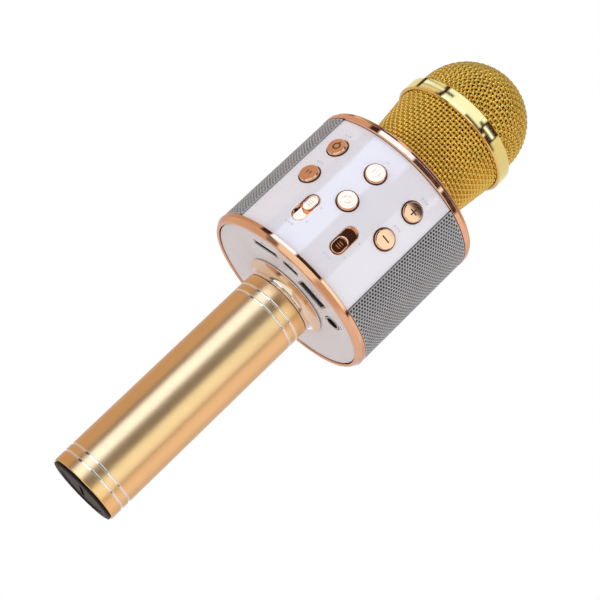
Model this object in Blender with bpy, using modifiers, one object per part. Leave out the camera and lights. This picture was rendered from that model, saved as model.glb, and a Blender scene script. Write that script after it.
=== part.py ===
"""Karaoke microphone: handle, speaker body with its control panel, and screw-on mesh head.

Upright along +Z, standing on its end cap. The control panel faces -Y. Metres.
"""
import math

import bpy

# ---------------------------------------------------------------- driving dimensions
MM = 0.001
GAP = 0.3 * MM                 # clearance between pieces that touch
SLIP = 0.25 * MM               # radial play of a plain thread or a sliding fit

HANDLE_R = 15.6 * MM           # outside of the handle tube
HANDLE_WALL = 1.3 * MM
HANDLE_LENGTH = 105.8 * MM
CAP_PROUD = 1.2 * MM           # the end cap stands out of the tube by this much
GROOVE_DEPTH = 0.35 * MM
GROOVE_WIDTH = 0.9 * MM
GROOVE_PAIR_FROM_END = 5.3 * MM
GROOVE_PITCH = 3.7 * MM

NECK_HEIGHT = 4.9 * MM
BODY_R = 40.1 * MM             # outside of the two polished rings
RING_HEIGHT = 3.8 * MM
SHELL_HEIGHT = 58.3 * MM       # panel and grille, between the rings
GRILLE_INSET = 0.7 * MM
GRILLE_WALL = 0.8 * MM
DRUM_WALL = 2.0 * MM

PANEL_HALF_ANGLE = math.radians(45.7)  # round the microphone's axis
PANEL_INSET = 1.7 * MM         # the panel is flatter than the rings: its middle stands this far inside them
PANEL_WALL = 2.0 * MM

KEY_R = 4.6 * MM
KEY_HOLE_PLAY = 0.3 * MM
KEY_PROUD = 1.3 * MM
KEY_TRAVEL = 0.5 * MM
KEY_FOOT_SPREAD = 0.8 * MM
KEY_COLUMN = math.radians(28.1)
KEY_LOWER_ROW = 29.2 * MM      # above the panel's lower edge
KEY_PITCH = 15.9 * MM

SWITCH_COLUMN = math.radians(13.8)
SLOT_LENGTH = 13.8 * MM
SLOT_WIDTH = 6.4 * MM
KNOB_LENGTH = 7.8 * MM
KNOB_WIDTH = 5.8 * MM
KNOB_TRAVEL = 5.0 * MM
SWITCH_CASE_LENGTH = 13.0 * MM

CELL_R = 9.15 * MM             # an 18650 cell
CELL_LENGTH = 65.0 * MM

SPEAKER_R = 17.5 * MM
SPEAKER_DEPTH = 9.0 * MM
CONE_TRAVEL = 1.0 * MM

HEAD_BASE_R = 23.1 * MM        # lower end of the mesh basket
HEAD_WAIST_R = 25.6 * MM       # upper end of the lower mesh
LOWER_MESH_HEIGHT = 32.0 * MM
BAND_PROUD = 1.7 * MM          # the band stands out of the mesh by this much
BAND_HEIGHT = 5.9 * MM
DOME_INSET = 0.7 * MM
DOME_LIFT = 6.0 * MM           # from the band's top to the middle of the dome's sphere
MESH_WALL = 0.9 * MM

# places that follow from the sizes above
HANDLE_TOP = CAP_PROUD + HANDLE_LENGTH
TUBE_BORE = HANDLE_R - HANDLE_WALL
BODY_BOTTOM = HANDLE_TOP + NECK_HEIGHT
SHELL_BOTTOM = BODY_BOTTOM + RING_HEIGHT
SHELL_TOP = SHELL_BOTTOM + SHELL_HEIGHT
BODY_TOP = SHELL_TOP + 3.6 * MM
SPEAKER_Z = (SHELL_BOTTOM + SHELL_TOP) / 2.0

GRILLE_R = BODY_R - GRILLE_INSET
DRUM_R = GRILLE_R - GRILLE_WALL - GAP
DRUM_BORE = DRUM_R - DRUM_WALL
PLATE_R = BODY_R - 2.9 * MM
PLATE_WALL = 2.0 * MM
PLATE_Z = BODY_BOTTOM + 0.5 * MM
NECK_TOP = PLATE_Z - GAP

PANEL_HALF_WIDTH = GRILLE_R * math.sin(PANEL_HALF_ANGLE)
PANEL_EDGE_Y = -GRILLE_R * math.cos(PANEL_HALF_ANGLE)
PANEL_CROWN = BODY_R - PANEL_INSET + PANEL_EDGE_Y
PANEL_R = (PANEL_HALF_WIDTH ** 2 + PANEL_CROWN ** 2) / (2.0 * PANEL_CROWN)
PANEL_CENTRE_Y = PANEL_R - BODY_R + PANEL_INSET
PANEL_HALF_ARC = math.asin(PANEL_HALF_WIDTH / PANEL_R)
KEY_ROWS = (SHELL_BOTTOM + KEY_LOWER_ROW, SHELL_BOTTOM + KEY_LOWER_ROW + KEY_PITCH)
KNOB_FOOT_LENGTH = KNOB_LENGTH + 0.8 * MM
SWITCH_Z = KEY_ROWS[0] - KEY_R - KEY_FOOT_SPREAD - GAP - (KNOB_TRAVEL + KNOB_FOOT_LENGTH) / 2.0
KEY_BOARD_LOW = SWITCH_Z - SWITCH_CASE_LENGTH / 2.0 - 0.5 * MM


# ---------------------------------------------------------------- tools for modelling
for old in list(bpy.data.objects):
    bpy.data.objects.remove(old, do_unlink=True)

PARTS = bpy.data.collections.new("karaoke_microphone")
CUTTERS = bpy.data.collections.new("cutters")
bpy.context.scene.collection.children.link(PARTS)
bpy.context.scene.collection.children.link(CUTTERS)


def material(name, colour, roughness, metallic=0.0):
    mat = bpy.data.materials.new(name)
    mat.use_nodes = True
    shader = mat.node_tree.nodes["Principled BSDF"]
    shader.inputs["Base Color"].default_value = (*colour, 1.0)
    shader.inputs["Roughness"].default_value = roughness
    shader.inputs["Metallic"].default_value = metallic
    return mat


SATIN_GOLD = material("satin_gold", (0.83, 0.57, 0.32), 0.35, 1.0)
ROSE_GOLD = material("rose_gold", (0.88, 0.55, 0.38), 0.08, 1.0)
YELLOW_GOLD = material("yellow_gold", (0.80, 0.62, 0.18), 0.2, 1.0)
PANEL_WHITE = material("panel_white", (0.80, 0.78, 0.85), 0.15)
PLATE_WHITE = material("plate_white", (0.72, 0.70, 0.73), 0.2)
GRILLE_SILVER = material("grille_silver", (0.55, 0.55, 0.56), 0.35, 1.0)
BLACK_PLASTIC = material("black_plastic", (0.03, 0.027, 0.027), 0.4)
GREY_PLASTIC = material("grey_plastic", (0.25, 0.25, 0.26), 0.5)
RUBBER = material("rubber", (0.02, 0.02, 0.02), 0.8)
FOAM = material("foam", (0.05, 0.045, 0.04), 0.95)
STEEL = material("steel", (0.6, 0.6, 0.62), 0.3, 1.0)
BOARD_GREEN = material("board_green", (0.03, 0.22, 0.10), 0.5)
CELL_WRAP = material("cell_wrap", (0.10, 0.30, 0.55), 0.4)
PAPER_CONE = material("paper_cone", (0.06, 0.06, 0.06), 0.9)


def place(obj, mat, at=(0.0, 0.0, 0.0), turn=(0.0, 0.0, 0.0)):
    obj.location = at
    obj.rotation_euler = turn
    if mat:
        obj.data.materials.append(mat)
    return obj


def new_object(name, verts, edges, faces=(), cutter=False):
    mesh = bpy.data.meshes.new(name)
    mesh.from_pydata(verts, edges, faces)
    obj = bpy.data.objects.new(name, mesh)
    (CUTTERS if cutter else PARTS).objects.link(obj)
    if cutter:
        obj.hide_render = True
        obj.display_type = "WIRE"
    return obj


def turned(name, mat, profile, steps=48, closed=True, cutter=False):
    """A profile of (radius, height) points, turned about the object's own Z."""
    verts = [(r, 0.0, z) for r, z in profile]
    edges = [(i, i + 1) for i in range(len(verts) - 1)]
    if closed:
        edges.append((len(verts) - 1, 0))
    obj = new_object(name, verts, edges, cutter=cutter)
    screw = obj.modifiers.new("turn", "SCREW")
    screw.steps = screw.render_steps = steps
    screw.use_merge_vertices = True
    screw.merge_threshold = 0.00001
    return place(obj, mat)


def disc(name, mat, radius, low, high, steps=32, cutter=False):
    """A solid round, from low to high."""
    return turned(name, mat, [(0.0, high), (radius, high), (radius, low), (0.0, low)], steps, False, cutter)


def ring(name, mat, bore, radius, low, high, steps=48):
    """A plain ring, from low to high."""
    return turned(name, mat, [(bore, high), (radius, high), (radius, low), (bore, low)], steps)


def curved_plate(name, mat, radius, wall, low, high, half_arc, facing, steps, centre_y=0.0):
    """A plate bent round Z, its outer face at radius and its middle at the angle facing."""
    start = facing - half_arc
    foot = (radius * math.cos(start), radius * math.sin(start))
    obj = new_object(name, [(*foot, high), (*foot, low)], [(0, 1)])
    screw = obj.modifiers.new("bend", "SCREW")
    screw.angle = 2.0 * half_arc
    screw.steps = screw.render_steps = steps
    wall_mod = obj.modifiers.new("wall", "SOLIDIFY")
    wall_mod.thickness = wall
    wall_mod.offset = -1.0
    wall_mod.use_even_offset = True
    return place(obj, mat, (0.0, centre_y, 0.0))


def block(name, mat, size, bevel=0.0, cutter=False):
    """A box centred on the object's origin."""
    bpy.ops.mesh.primitive_cube_add(size=1.0)
    obj = bpy.context.object
    obj.name = obj.data.name = name
    for owner in list(obj.users_collection):
        owner.objects.unlink(obj)
    (CUTTERS if cutter else PARTS).objects.link(obj)
    obj.data.transform(((size[0], 0, 0, 0), (0, size[1], 0, 0), (0, 0, size[2], 0), (0, 0, 0, 1)))
    if cutter:
        obj.hide_render = True
        obj.display_type = "WIRE"
    if bevel:
        edge = obj.modifiers.new("edge", "BEVEL")
        edge.width = bevel
        edge.segments = 2
    return place(obj, mat)


def cut(obj, *cutters):
    """Take each cutter away from obj."""
    for cutter in cutters:
        hole = obj.modifiers.new(cutter.name, "BOOLEAN")
        hole.operation = "DIFFERENCE"
        hole.object = cutter
    return obj


def smooth(obj):
    """Shade a turned piece smooth, with its edges kept."""
    for poly in obj.data.polygons:
        poly.use_smooth = True
    return obj


def on_panel(obj, arc, height):
    """Stand obj on the panel's outer face, its own Z outwards and its own Y up."""
    obj.location = (PANEL_R * math.sin(arc), PANEL_CENTRE_Y - PANEL_R * math.cos(arc), height)
    obj.rotation_euler = (math.radians(90.0), 0.0, arc)
    return obj


def long_round(name, mat, length, width, low, high, cutter=False):
    """A bar with round ends: length along its own Y, width along X."""
    r = width / 2.0
    half = length / 2.0 - r
    ends = [(math.radians(a), half) for a in range(0, 181, 20)]
    ends += [(math.radians(a), -half) for a in range(180, 361, 20)]
    outline = [(r * math.cos(a), r * math.sin(a) + shift) for a, shift in ends]
    verts = [(x, y, low) for x, y in outline]
    obj = new_object(name, verts, [], [tuple(range(len(verts)))], cutter=cutter)
    depth = obj.modifiers.new("depth", "SOLIDIFY")
    depth.thickness = high - low
    depth.offset = 1.0
    return place(obj, mat)


# ---------------------------------------------------------------- handle
CAP_SPIGOT_R = TUBE_BORE - SLIP - 0.05 * MM
CAP_TOP = 9.0 * MM
SEAL_LOW = 2.0 * MM
SEAL_HIGH = 3.6 * MM
SEAL_BORE = CAP_SPIGOT_R - 1.4 * MM
CELL_BOTTOM = CAP_TOP + 2.0 * MM
CELL_TOP = CELL_BOTTOM + CELL_LENGTH
SLEEVE_BORE = CELL_R + 0.4 * MM
SLEEVE_R = SLEEVE_BORE + 1.6 * MM
SLEEVE_BOTTOM = CAP_TOP + 1.4 * MM
SLEEVE_TOP = CELL_TOP + 6.0 * MM
SLEEVE_FLANGE = 2.0 * MM
LEAD_R = 0.7 * MM


def handle_tube():
    low, high = CAP_PROUD, HANDLE_TOP
    grooves = [high - GROOVE_PAIR_FROM_END - GROOVE_PITCH * i for i in range(2)]
    grooves += [low + GROOVE_PAIR_FROM_END + GROOVE_PITCH * (1 - i) for i in range(2)]
    inner = HANDLE_R - GROOVE_DEPTH
    profile = [(TUBE_BORE, high), (HANDLE_R - 0.4 * MM, high), (HANDLE_R, high - 0.4 * MM)]
    for z in grooves:
        half = GROOVE_WIDTH / 2.0
        profile += [(HANDLE_R, z + half), (inner, z), (HANDLE_R, z - half)]
    profile += [(HANDLE_R, low + 0.4 * MM), (HANDLE_R - 0.4 * MM, low), (TUBE_BORE, low)]
    return smooth(turned("handle_tube", SATIN_GOLD, profile, 32))


def end_cap():
    flange_top = CAP_PROUD - GAP
    spigot_bore = CAP_SPIGOT_R - 4.0 * MM
    floor = SEAL_HIGH - 0.6 * MM
    groove = SEAL_BORE - GAP
    profile = [
        (0.0, floor), (spigot_bore, floor), (spigot_bore, CAP_TOP),
        (CAP_SPIGOT_R - 0.5 * MM, CAP_TOP), (CAP_SPIGOT_R, CAP_TOP - 0.5 * MM),
        (CAP_SPIGOT_R, SEAL_HIGH + GAP), (groove, SEAL_HIGH + GAP),
        (groove, SEAL_LOW - GAP), (CAP_SPIGOT_R, SEAL_LOW - GAP),
        (CAP_SPIGOT_R, flange_top), (HANDLE_R - 0.6 * MM, flange_top),
        (HANDLE_R - 0.6 * MM, 0.6 * MM), (HANDLE_R - 1.2 * MM, 0.0), (0.0, 0.0),
    ]
    return smooth(turned("end_cap", BLACK_PLASTIC, profile, 32, closed=False))


def cap_seal():
    mid = (SEAL_LOW + SEAL_HIGH) / 2.0
    r_mid = (SEAL_BORE + CAP_SPIGOT_R) / 2.0
    half_w = (CAP_SPIGOT_R - SEAL_BORE) / 2.0
    half_h = (SEAL_HIGH - SEAL_LOW) / 2.0
    angles = [math.radians(67.5 - 45.0 * i) for i in range(8)]
    profile = [(r_mid + half_w * math.cos(a), mid + half_h * math.sin(a)) for a in angles]
    return smooth(turned("cap_seal", RUBBER, profile, 24))


def cap_spring():
    """The contact spring: a cone of wire that stands in the end cap."""
    wire = 0.45 * MM
    low = SEAL_HIGH - 0.6 * MM + wire + GAP
    high = CELL_BOTTOM - wire - GAP
    turns, per_turn = 3, 12
    curve = bpy.data.curves.new("cap_spring", "CURVE")
    curve.dimensions = "3D"
    curve.bevel_depth = wire
    curve.bevel_resolution = 1
    curve.use_fill_caps = True
    curve.render_resolution_u = 0
    spline = curve.splines.new("POLY")
    count = turns * per_turn + 1
    spline.points.add(count - 1)
    for i in range(count):
        t = i / (count - 1)
        r = 7.6 * MM * (1.0 - t) + 3.0 * MM * t
        a = 2.0 * math.pi * turns * t
        spline.points[i].co = (r * math.cos(a), r * math.sin(a), low + (high - low) * t, 1.0)
    obj = bpy.data.objects.new("cap_spring", curve)
    PARTS.objects.link(obj)
    return place(obj, STEEL)


def battery_cell():
    nub_r = 2.8 * MM
    edge = 0.4 * MM
    profile = [
        (0.0, CELL_TOP + 1.3 * MM), (nub_r, CELL_TOP + 1.3 * MM), (nub_r, CELL_TOP),
        (CELL_R - edge, CELL_TOP), (CELL_R, CELL_TOP - edge),
        (CELL_R, CELL_BOTTOM + edge), (CELL_R - edge, CELL_BOTTOM), (0.0, CELL_BOTTOM),
    ]
    return smooth(turned("battery_cell", CELL_WRAP, profile, 24, closed=False))


def battery_sleeve():
    flange_r = TUBE_BORE - GAP
    lead_hole = LEAD_R + 0.6 * MM
    roof = SLEEVE_TOP - SLEEVE_FLANGE
    profile = [
        (lead_hole, SLEEVE_TOP), (flange_r, SLEEVE_TOP), (flange_r, roof), (SLEEVE_R, roof),
        (SLEEVE_R, SLEEVE_BOTTOM + SLEEVE_FLANGE), (flange_r, SLEEVE_BOTTOM + SLEEVE_FLANGE),
        (flange_r, SLEEVE_BOTTOM), (SLEEVE_BORE, SLEEVE_BOTTOM),
        (SLEEVE_BORE, roof), (lead_hole, roof),
    ]
    return smooth(turned("battery_sleeve", GREY_PLASTIC, profile, 24))


NECK_FLANGE_R = HANDLE_R + 3.6 * MM
NECK_SPIGOT = min(6.5 * MM, HANDLE_TOP - SLEEVE_TOP - GAP)
NECK_BORE = 9.5 * MM
NECK_SCREW_CIRCLE = 11.9 * MM
SCREW_R = 1.0 * MM
SCREW_HOLE_R = SCREW_R + 0.35 * MM
SCREW_LENGTH = 7.0 * MM
SCREW_ANGLES = [math.radians(90.0 + 120.0 * i) for i in range(3)]


def neck_flange():
    """The polished neck: a spigot in the tube, a step, and a flare up to the body."""
    step = HANDLE_TOP + GAP
    spigot_r = TUBE_BORE - GAP
    waist = HANDLE_R - 0.9 * MM
    lip = 0.7 * MM
    flare_low = step + 1.4 * MM
    flare_high = NECK_TOP - lip
    profile = [(NECK_BORE, NECK_TOP), (NECK_FLANGE_R - 0.3 * MM, NECK_TOP), (NECK_FLANGE_R, NECK_TOP - lip / 2.0)]
    for i in range(5):
        a = math.radians(90.0 * i / 4.0)
        r = waist + (NECK_FLANGE_R - waist) * (1.0 - math.sin(a))
        profile.append((r, flare_low + (flare_high - flare_low) * math.cos(a)))
    profile += [
        (waist, step + 1.0 * MM), (HANDLE_R - 0.1 * MM, step + 0.7 * MM), (HANDLE_R - 0.1 * MM, step),
        (spigot_r, step), (spigot_r, HANDLE_TOP - NECK_SPIGOT), (NECK_BORE, HANDLE_TOP - NECK_SPIGOT),
    ]
    neck = smooth(turned("neck_flange", ROSE_GOLD, profile, 32))
    for i, a in enumerate(SCREW_ANGLES):
        depth = SCREW_LENGTH - PLATE_WALL + GAP
        hole = disc(f"neck_hole_{i + 1}", None, SCREW_HOLE_R, NECK_TOP - depth, NECK_TOP + 1.0 * MM, 10, cutter=True)
        hole.location = (NECK_SCREW_CIRCLE * math.cos(a), NECK_SCREW_CIRCLE * math.sin(a), 0.0)
        cut(neck, hole)
    return neck


def neck_screws():
    seat = PLATE_Z + PLATE_WALL + GAP
    head_r = 2.1 * MM
    head_h = 1.4 * MM
    for i, a in enumerate(SCREW_ANGLES):
        profile = [
            (0.0, seat + head_h), (head_r - 0.4 * MM, seat + head_h), (head_r, seat + head_h / 2.0), (head_r, seat),
            (SCREW_R, seat), (SCREW_R, seat - SCREW_LENGTH + GAP), (0.0, seat - SCREW_LENGTH - 0.3 * MM),
        ]
        screw = smooth(turned(f"neck_screw_{i + 1}", STEEL, profile, 10, closed=False))
        screw.location = (NECK_SCREW_CIRCLE * math.cos(a), NECK_SCREW_CIRCLE * math.sin(a), 0.0)


def battery_lead():
    """The cell's lead, from the sleeve up through the neck to the main board."""
    top = BOARD_BOTTOM + 1.0 * MM
    low = SLEEVE_TOP - SLEEVE_FLANGE / 2.0
    curve = bpy.data.curves.new("battery_lead", "CURVE")
    curve.dimensions = "3D"
    curve.bevel_depth = LEAD_R
    curve.bevel_resolution = 2
    curve.use_fill_caps = True
    curve.render_resolution_u = 0
    spline = curve.splines.new("POLY")
    count = 12
    spline.points.add(count - 1)
    side = BOARD_WALL / 2.0 + LEAD_R + GAP
    for i in range(count):
        t = i / (count - 1)
        ease = t * t * (3.0 - 2.0 * t)
        sway = 2.0 * MM * math.sin(math.pi * t) ** 2
        spline.points[i].co = (sway, side * ease, low + (top - low) * t, 1.0)
    obj = bpy.data.objects.new("battery_lead", curve)
    PARTS.objects.link(obj)
    return place(obj, RUBBER)


# ---------------------------------------------------------------- bottom of the body
PORT_FACE = PLATE_Z + 0.2 * MM
PORT_TOP = KEY_BOARD_LOW - 2.0 * GAP
USB_SIZE = (13.6 * MM, 5.9 * MM, PORT_TOP - PORT_FACE)
CHARGE_SIZE = (7.4 * MM, 2.9 * MM, 6.0 * MM)
CARD_SIZE = (13.0 * MM, 2.6 * MM, PORT_TOP - PORT_FACE)
JACK_R = 3.6 * MM
JACK_BORE = 1.8 * MM
JACK_DEPTH = 12.0 * MM
PORT_PLAY = 0.3 * MM
# each port: distance from the axis, angle round from the front, turn of its long side
USB_PLACE = (25.5 * MM, math.radians(30.0), math.radians(22.0))
CHARGE_PLACE = (29.0 * MM, math.radians(2.5), math.radians(2.5))
CARD_PLACE = (29.4 * MM, math.radians(-24.0), math.radians(-22.0))
JACK_PLACE = (27.5 * MM, math.radians(62.0), 0.0)
LEAD_HOLE_R = 6.0 * MM


def at_port(obj, where, height):
    distance, angle, turn = where
    obj.location = (distance * math.sin(angle), -distance * math.cos(angle), height)
    obj.rotation_euler = (0.0, 0.0, turn)
    return obj


def bottom_ring():
    bore = PLATE_R + GAP
    high = SHELL_BOTTOM - GAP
    rise = high - BODY_BOTTOM
    profile = [(bore, high), (BODY_R - 0.5 * MM, high), (BODY_R, high - 0.5 * MM)]
    for i in range(5):
        a = math.radians(90.0 * i / 4.0)
        r = BODY_R - 1.3 * MM * (1.0 - math.cos(a))
        profile.append((r, BODY_BOTTOM + rise * 0.45 * (1.0 - math.sin(a))))
    profile += [(bore + 0.3 * MM, BODY_BOTTOM), (bore, BODY_BOTTOM + 0.3 * MM)]
    return smooth(turned("bottom_ring", ROSE_GOLD, profile, 48))


def bottom_plate():
    profile = [
        (LEAD_HOLE_R, PLATE_Z + PLATE_WALL), (PLATE_R, PLATE_Z + PLATE_WALL), (PLATE_R, PLATE_Z), (LEAD_HOLE_R, PLATE_Z),
    ]
    plate = turned("bottom_plate", PLATE_WHITE, profile, 40)
    through = PLATE_WALL + 2.0 * MM
    middle = PLATE_Z + PLATE_WALL / 2.0
    for name, size, where in (
        ("usb_cut", USB_SIZE, USB_PLACE), ("charge_cut", CHARGE_SIZE, CHARGE_PLACE), ("card_cut", CARD_SIZE, CARD_PLACE),
    ):
        hole = block(name, None, (size[0] + 2.0 * PORT_PLAY, size[1] + 2.0 * PORT_PLAY, through), cutter=True)
        cut(plate, at_port(hole, where, middle))
    jack_hole = disc("jack_cut", None, JACK_R + PORT_PLAY, -through / 2.0, through / 2.0, 16, cutter=True)
    cut(plate, at_port(jack_hole, JACK_PLACE, middle))
    for i, a in enumerate(SCREW_ANGLES):
        hole = disc(f"plate_hole_{i + 1}", None, SCREW_HOLE_R, -through / 2.0, through / 2.0, 10, cutter=True)
        hole.location = (NECK_SCREW_CIRCLE * math.cos(a), NECK_SCREW_CIRCLE * math.sin(a), middle)
        cut(plate, hole)
    return plate


def usb_socket():
    shell = block("usb_socket", STEEL, USB_SIZE)
    at_port(shell, USB_PLACE, PORT_FACE + USB_SIZE[2] / 2.0)
    wall = 0.5 * MM
    deep = USB_SIZE[2] - 3.0 * MM
    tongue = 1.4 * MM
    inside = (USB_SIZE[1] - 2.0 * wall - tongue)
    for name, height, side in (("usb_front_gap", inside * 0.7, -1.0), ("usb_back_gap", inside * 0.3, 1.0)):
        gap = block(name, None, (USB_SIZE[0] - 2.0 * wall, height, deep * 2.0), cutter=True)
        at_port(gap, USB_PLACE, PORT_FACE)
        offset = side * (USB_SIZE[1] / 2.0 - wall - height / 2.0)
        turn = USB_PLACE[2]
        gap.location.x -= offset * math.sin(turn)
        gap.location.y += offset * math.cos(turn)
        cut(shell, gap)
    return shell


def small_socket(name, size, where, wall, deep):
    shell = block(name, STEEL, size)
    at_port(shell, where, PORT_FACE + size[2] / 2.0)
    mouth = block(name + "_mouth", None, (size[0] - 2.0 * wall, size[1] - 2.0 * wall, deep * 2.0), cutter=True)
    return cut(shell, at_port(mouth, where, PORT_FACE))


def audio_jack():
    profile = [
        (0.0, JACK_DEPTH), (JACK_R, JACK_DEPTH), (JACK_R, 0.0), (JACK_BORE, 0.0),
        (JACK_BORE, JACK_DEPTH - 1.5 * MM), (0.0, JACK_DEPTH - 1.5 * MM),
    ]
    jack = smooth(turned("audio_jack", BLACK_PLASTIC, profile, 16, closed=False))
    return at_port(jack, JACK_PLACE, PORT_FACE)


# ---------------------------------------------------------------- shell of the body
SHELL_ARC = math.pi - math.atan2(PANEL_HALF_WIDTH + 2.0 * GAP, -PANEL_EDGE_Y)
BACK = math.radians(90.0)
SPEAKER_FACE_X = math.sqrt(DRUM_BORE ** 2 - SPEAKER_R ** 2) - 2.0 * GAP


def speaker_grille():
    return curved_plate(
        "speaker_grille", GRILLE_SILVER, GRILLE_R, GRILLE_WALL, SHELL_BOTTOM, SHELL_TOP, SHELL_ARC, BACK, 40)


def inner_drum():
    """The moulded inner drum that the speakers bolt to."""
    shell = curved_plate(
        "inner_drum", GREY_PLASTIC, DRUM_R, DRUM_WALL, SHELL_BOTTOM, SHELL_TOP,
        SHELL_ARC - math.radians(1.5), BACK, 32)
    window = disc("speaker_window", None, SPEAKER_R - 2.0 * MM, -BODY_R, BODY_R, 24, cutter=True)
    window.location = (0.0, 0.0, SPEAKER_Z)
    window.rotation_euler = (0.0, math.radians(90.0), 0.0)
    return cut(shell, window)


def front_panel():
    panel = curved_plate(
        "front_panel", PANEL_WHITE, PANEL_R, PANEL_WALL, SHELL_BOTTOM, SHELL_TOP,
        PANEL_HALF_ARC, math.radians(-90.0), 24, PANEL_CENTRE_Y)
    deep = 4.0 * MM
    for column in (-1, 0, 1):
        for row, z in enumerate(KEY_ROWS):
            hole = disc(f"key_cut_{column + 2}_{row + 1}", None, KEY_R + KEY_HOLE_PLAY, -deep, deep, 20, cutter=True)
            cut(panel, on_panel(hole, column * KEY_COLUMN, z))
    for side in (-1, 1):
        slot = long_round(f"slot_cut_{side + 2}", None, SLOT_LENGTH, SLOT_WIDTH, -deep, deep, cutter=True)
        cut(panel, on_panel(slot, side * SWITCH_COLUMN, SWITCH_Z))
    return panel


# ---------------------------------------------------------------- keys and switches
# depths below the panel's outer face
KEY_FLANGE_TOP = PANEL_WALL + 0.7 * MM
KEY_FLANGE_WALL = 0.8 * MM
KEY_STEM_END = 5.0 * MM
PLUNGER_TOP = KEY_STEM_END + GAP
TACT_TOP = 6.2 * MM
PLUNGER_END = TACT_TOP + 1.1 * MM
TACT_DEPTH = 3.3 * MM
KEY_BOARD_TOP = TACT_TOP + TACT_DEPTH + GAP
KEY_BOARD_WALL = 1.2 * MM
KEY_NAMES = {
    (-1, 1): "left_upper", (-1, 0): "left_lower", (0, 1): "middle_upper",
    (0, 0): "middle_lower", (1, 1): "plus", (1, 0): "minus",
}


def key(name, arc, height):
    """A polished round key, its spread foot behind the panel and a stem to its switch."""
    edge = 0.5 * MM
    foot_r = KEY_R + KEY_FOOT_SPREAD
    stem_r = 1.5 * MM
    profile = [
        (0.0, KEY_PROUD), (KEY_R - edge, KEY_PROUD), (KEY_R - edge * 0.3, KEY_PROUD - edge * 0.3),
        (KEY_R, KEY_PROUD - edge), (KEY_R, -KEY_FLANGE_TOP), (foot_r, -KEY_FLANGE_TOP),
        (foot_r, -KEY_FLANGE_TOP - KEY_FLANGE_WALL), (stem_r, -KEY_FLANGE_TOP - KEY_FLANGE_WALL),
        (stem_r, -KEY_STEM_END), (0.0, -KEY_STEM_END),
    ]
    return on_panel(smooth(turned("key_" + name, ROSE_GOLD, profile, 20, closed=False)), arc, height)


def tact_switch(name, arc, height):
    """A push switch on the key board: a square case with a round plunger in its top."""
    side = 6.0 * MM
    case = block("tact_switch_" + name, BLACK_PLASTIC, (side, side, TACT_DEPTH))
    on_panel(case, arc, height)
    centre_r = PANEL_R - TACT_TOP - TACT_DEPTH / 2.0
    case.location = (centre_r * math.sin(arc), PANEL_CENTRE_Y - centre_r * math.cos(arc), height)
    plunger_r = 1.6 * MM
    floor = PLUNGER_END + KEY_TRAVEL + GAP
    well = disc("well_" + name, None, plunger_r + GAP, -floor, 0.0, 10, cutter=True)
    cut(case, on_panel(well, arc, height))
    plunger = disc("tact_plunger_" + name, STEEL, plunger_r, -PLUNGER_END, -PLUNGER_TOP, 10)
    on_panel(smooth(plunger), arc, height)


def slide_switch(side, arc, rest):
    """A slide switch: the metal-cased switch behind the panel, and the polished knob in its slot."""
    case_top = 4.0 * MM
    case_depth = KEY_BOARD_TOP - GAP - case_top
    case_size = (8.6 * MM, SWITCH_CASE_LENGTH, case_depth)
    case = block("slide_switch_" + side, STEEL, case_size)
    on_panel(case, arc, SWITCH_Z)
    centre_r = PANEL_R - case_top - case_depth / 2.0
    case.location = (centre_r * math.sin(arc), PANEL_CENTRE_Y - centre_r * math.cos(arc), SWITCH_Z)
    stem = 2.0 * MM
    stem_end = 5.8 * MM
    groove = block("groove_" + side, None,
                   (stem + 2.0 * GAP, stem + KNOB_TRAVEL + 2.0 * GAP, 2.0 * (stem_end + GAP)), cutter=True)
    cut(case, on_panel(groove, arc, SWITCH_Z))

    knob = long_round("slide_knob_" + side, ROSE_GOLD, KNOB_LENGTH, KNOB_WIDTH, -PANEL_WALL - 0.7 * MM, 0.6 * MM)
    for name, size, low, high in (
        ("foot", (KNOB_WIDTH + 2.2 * MM, KNOB_FOOT_LENGTH), -3.5 * MM, -2.6 * MM),
        ("stem", (stem, stem), -stem_end, -3.4 * MM),
    ):
        lug = block(f"knob_{name}_{side}", None, (*size, high - low), cutter=True)
        on_panel(lug, arc, rest)
        lug_r = PANEL_R + (low + high) / 2.0
        lug.location = (lug_r * math.sin(arc), PANEL_CENTRE_Y - lug_r * math.cos(arc), rest)
        join = knob.modifiers.new(name, "BOOLEAN")
        join.operation = "UNION"
        join.object = lug
    on_panel(knob, arc, rest)


def key_board():
    """A bent circuit board, concentric with the panel."""
    margin = 5.0 * MM
    half_arc = KEY_COLUMN + math.atan2(4.0 * MM, PANEL_R)
    return curved_plate(
        "key_board", BOARD_GREEN, PANEL_R - KEY_BOARD_TOP, KEY_BOARD_WALL, KEY_BOARD_LOW, KEY_ROWS[1] + margin,
        half_arc, math.radians(-90.0), 16, PANEL_CENTRE_Y)


# ---------------------------------------------------------------- inside the body
BOARD_WALL = 1.6 * MM
BOARD_MARGIN = 5.2 * MM         # bare room above and below the main board
BOARD_BOTTOM = SHELL_BOTTOM + BOARD_MARGIN
MAGNET_R = 11.0 * MM
MAGNET_DEPTH = 7.0 * MM


def main_board():
    magnet_back = SPEAKER_FACE_X - SPEAKER_DEPTH - GAP - MAGNET_DEPTH
    height = SHELL_HEIGHT - 2.0 * BOARD_MARGIN
    board = block("main_board", BOARD_GREEN, (2.0 * (magnet_back - 1.5 * MM), BOARD_WALL, height))
    board.location = (0.0, 0.0, BOARD_BOTTOM + height / 2.0)


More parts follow.
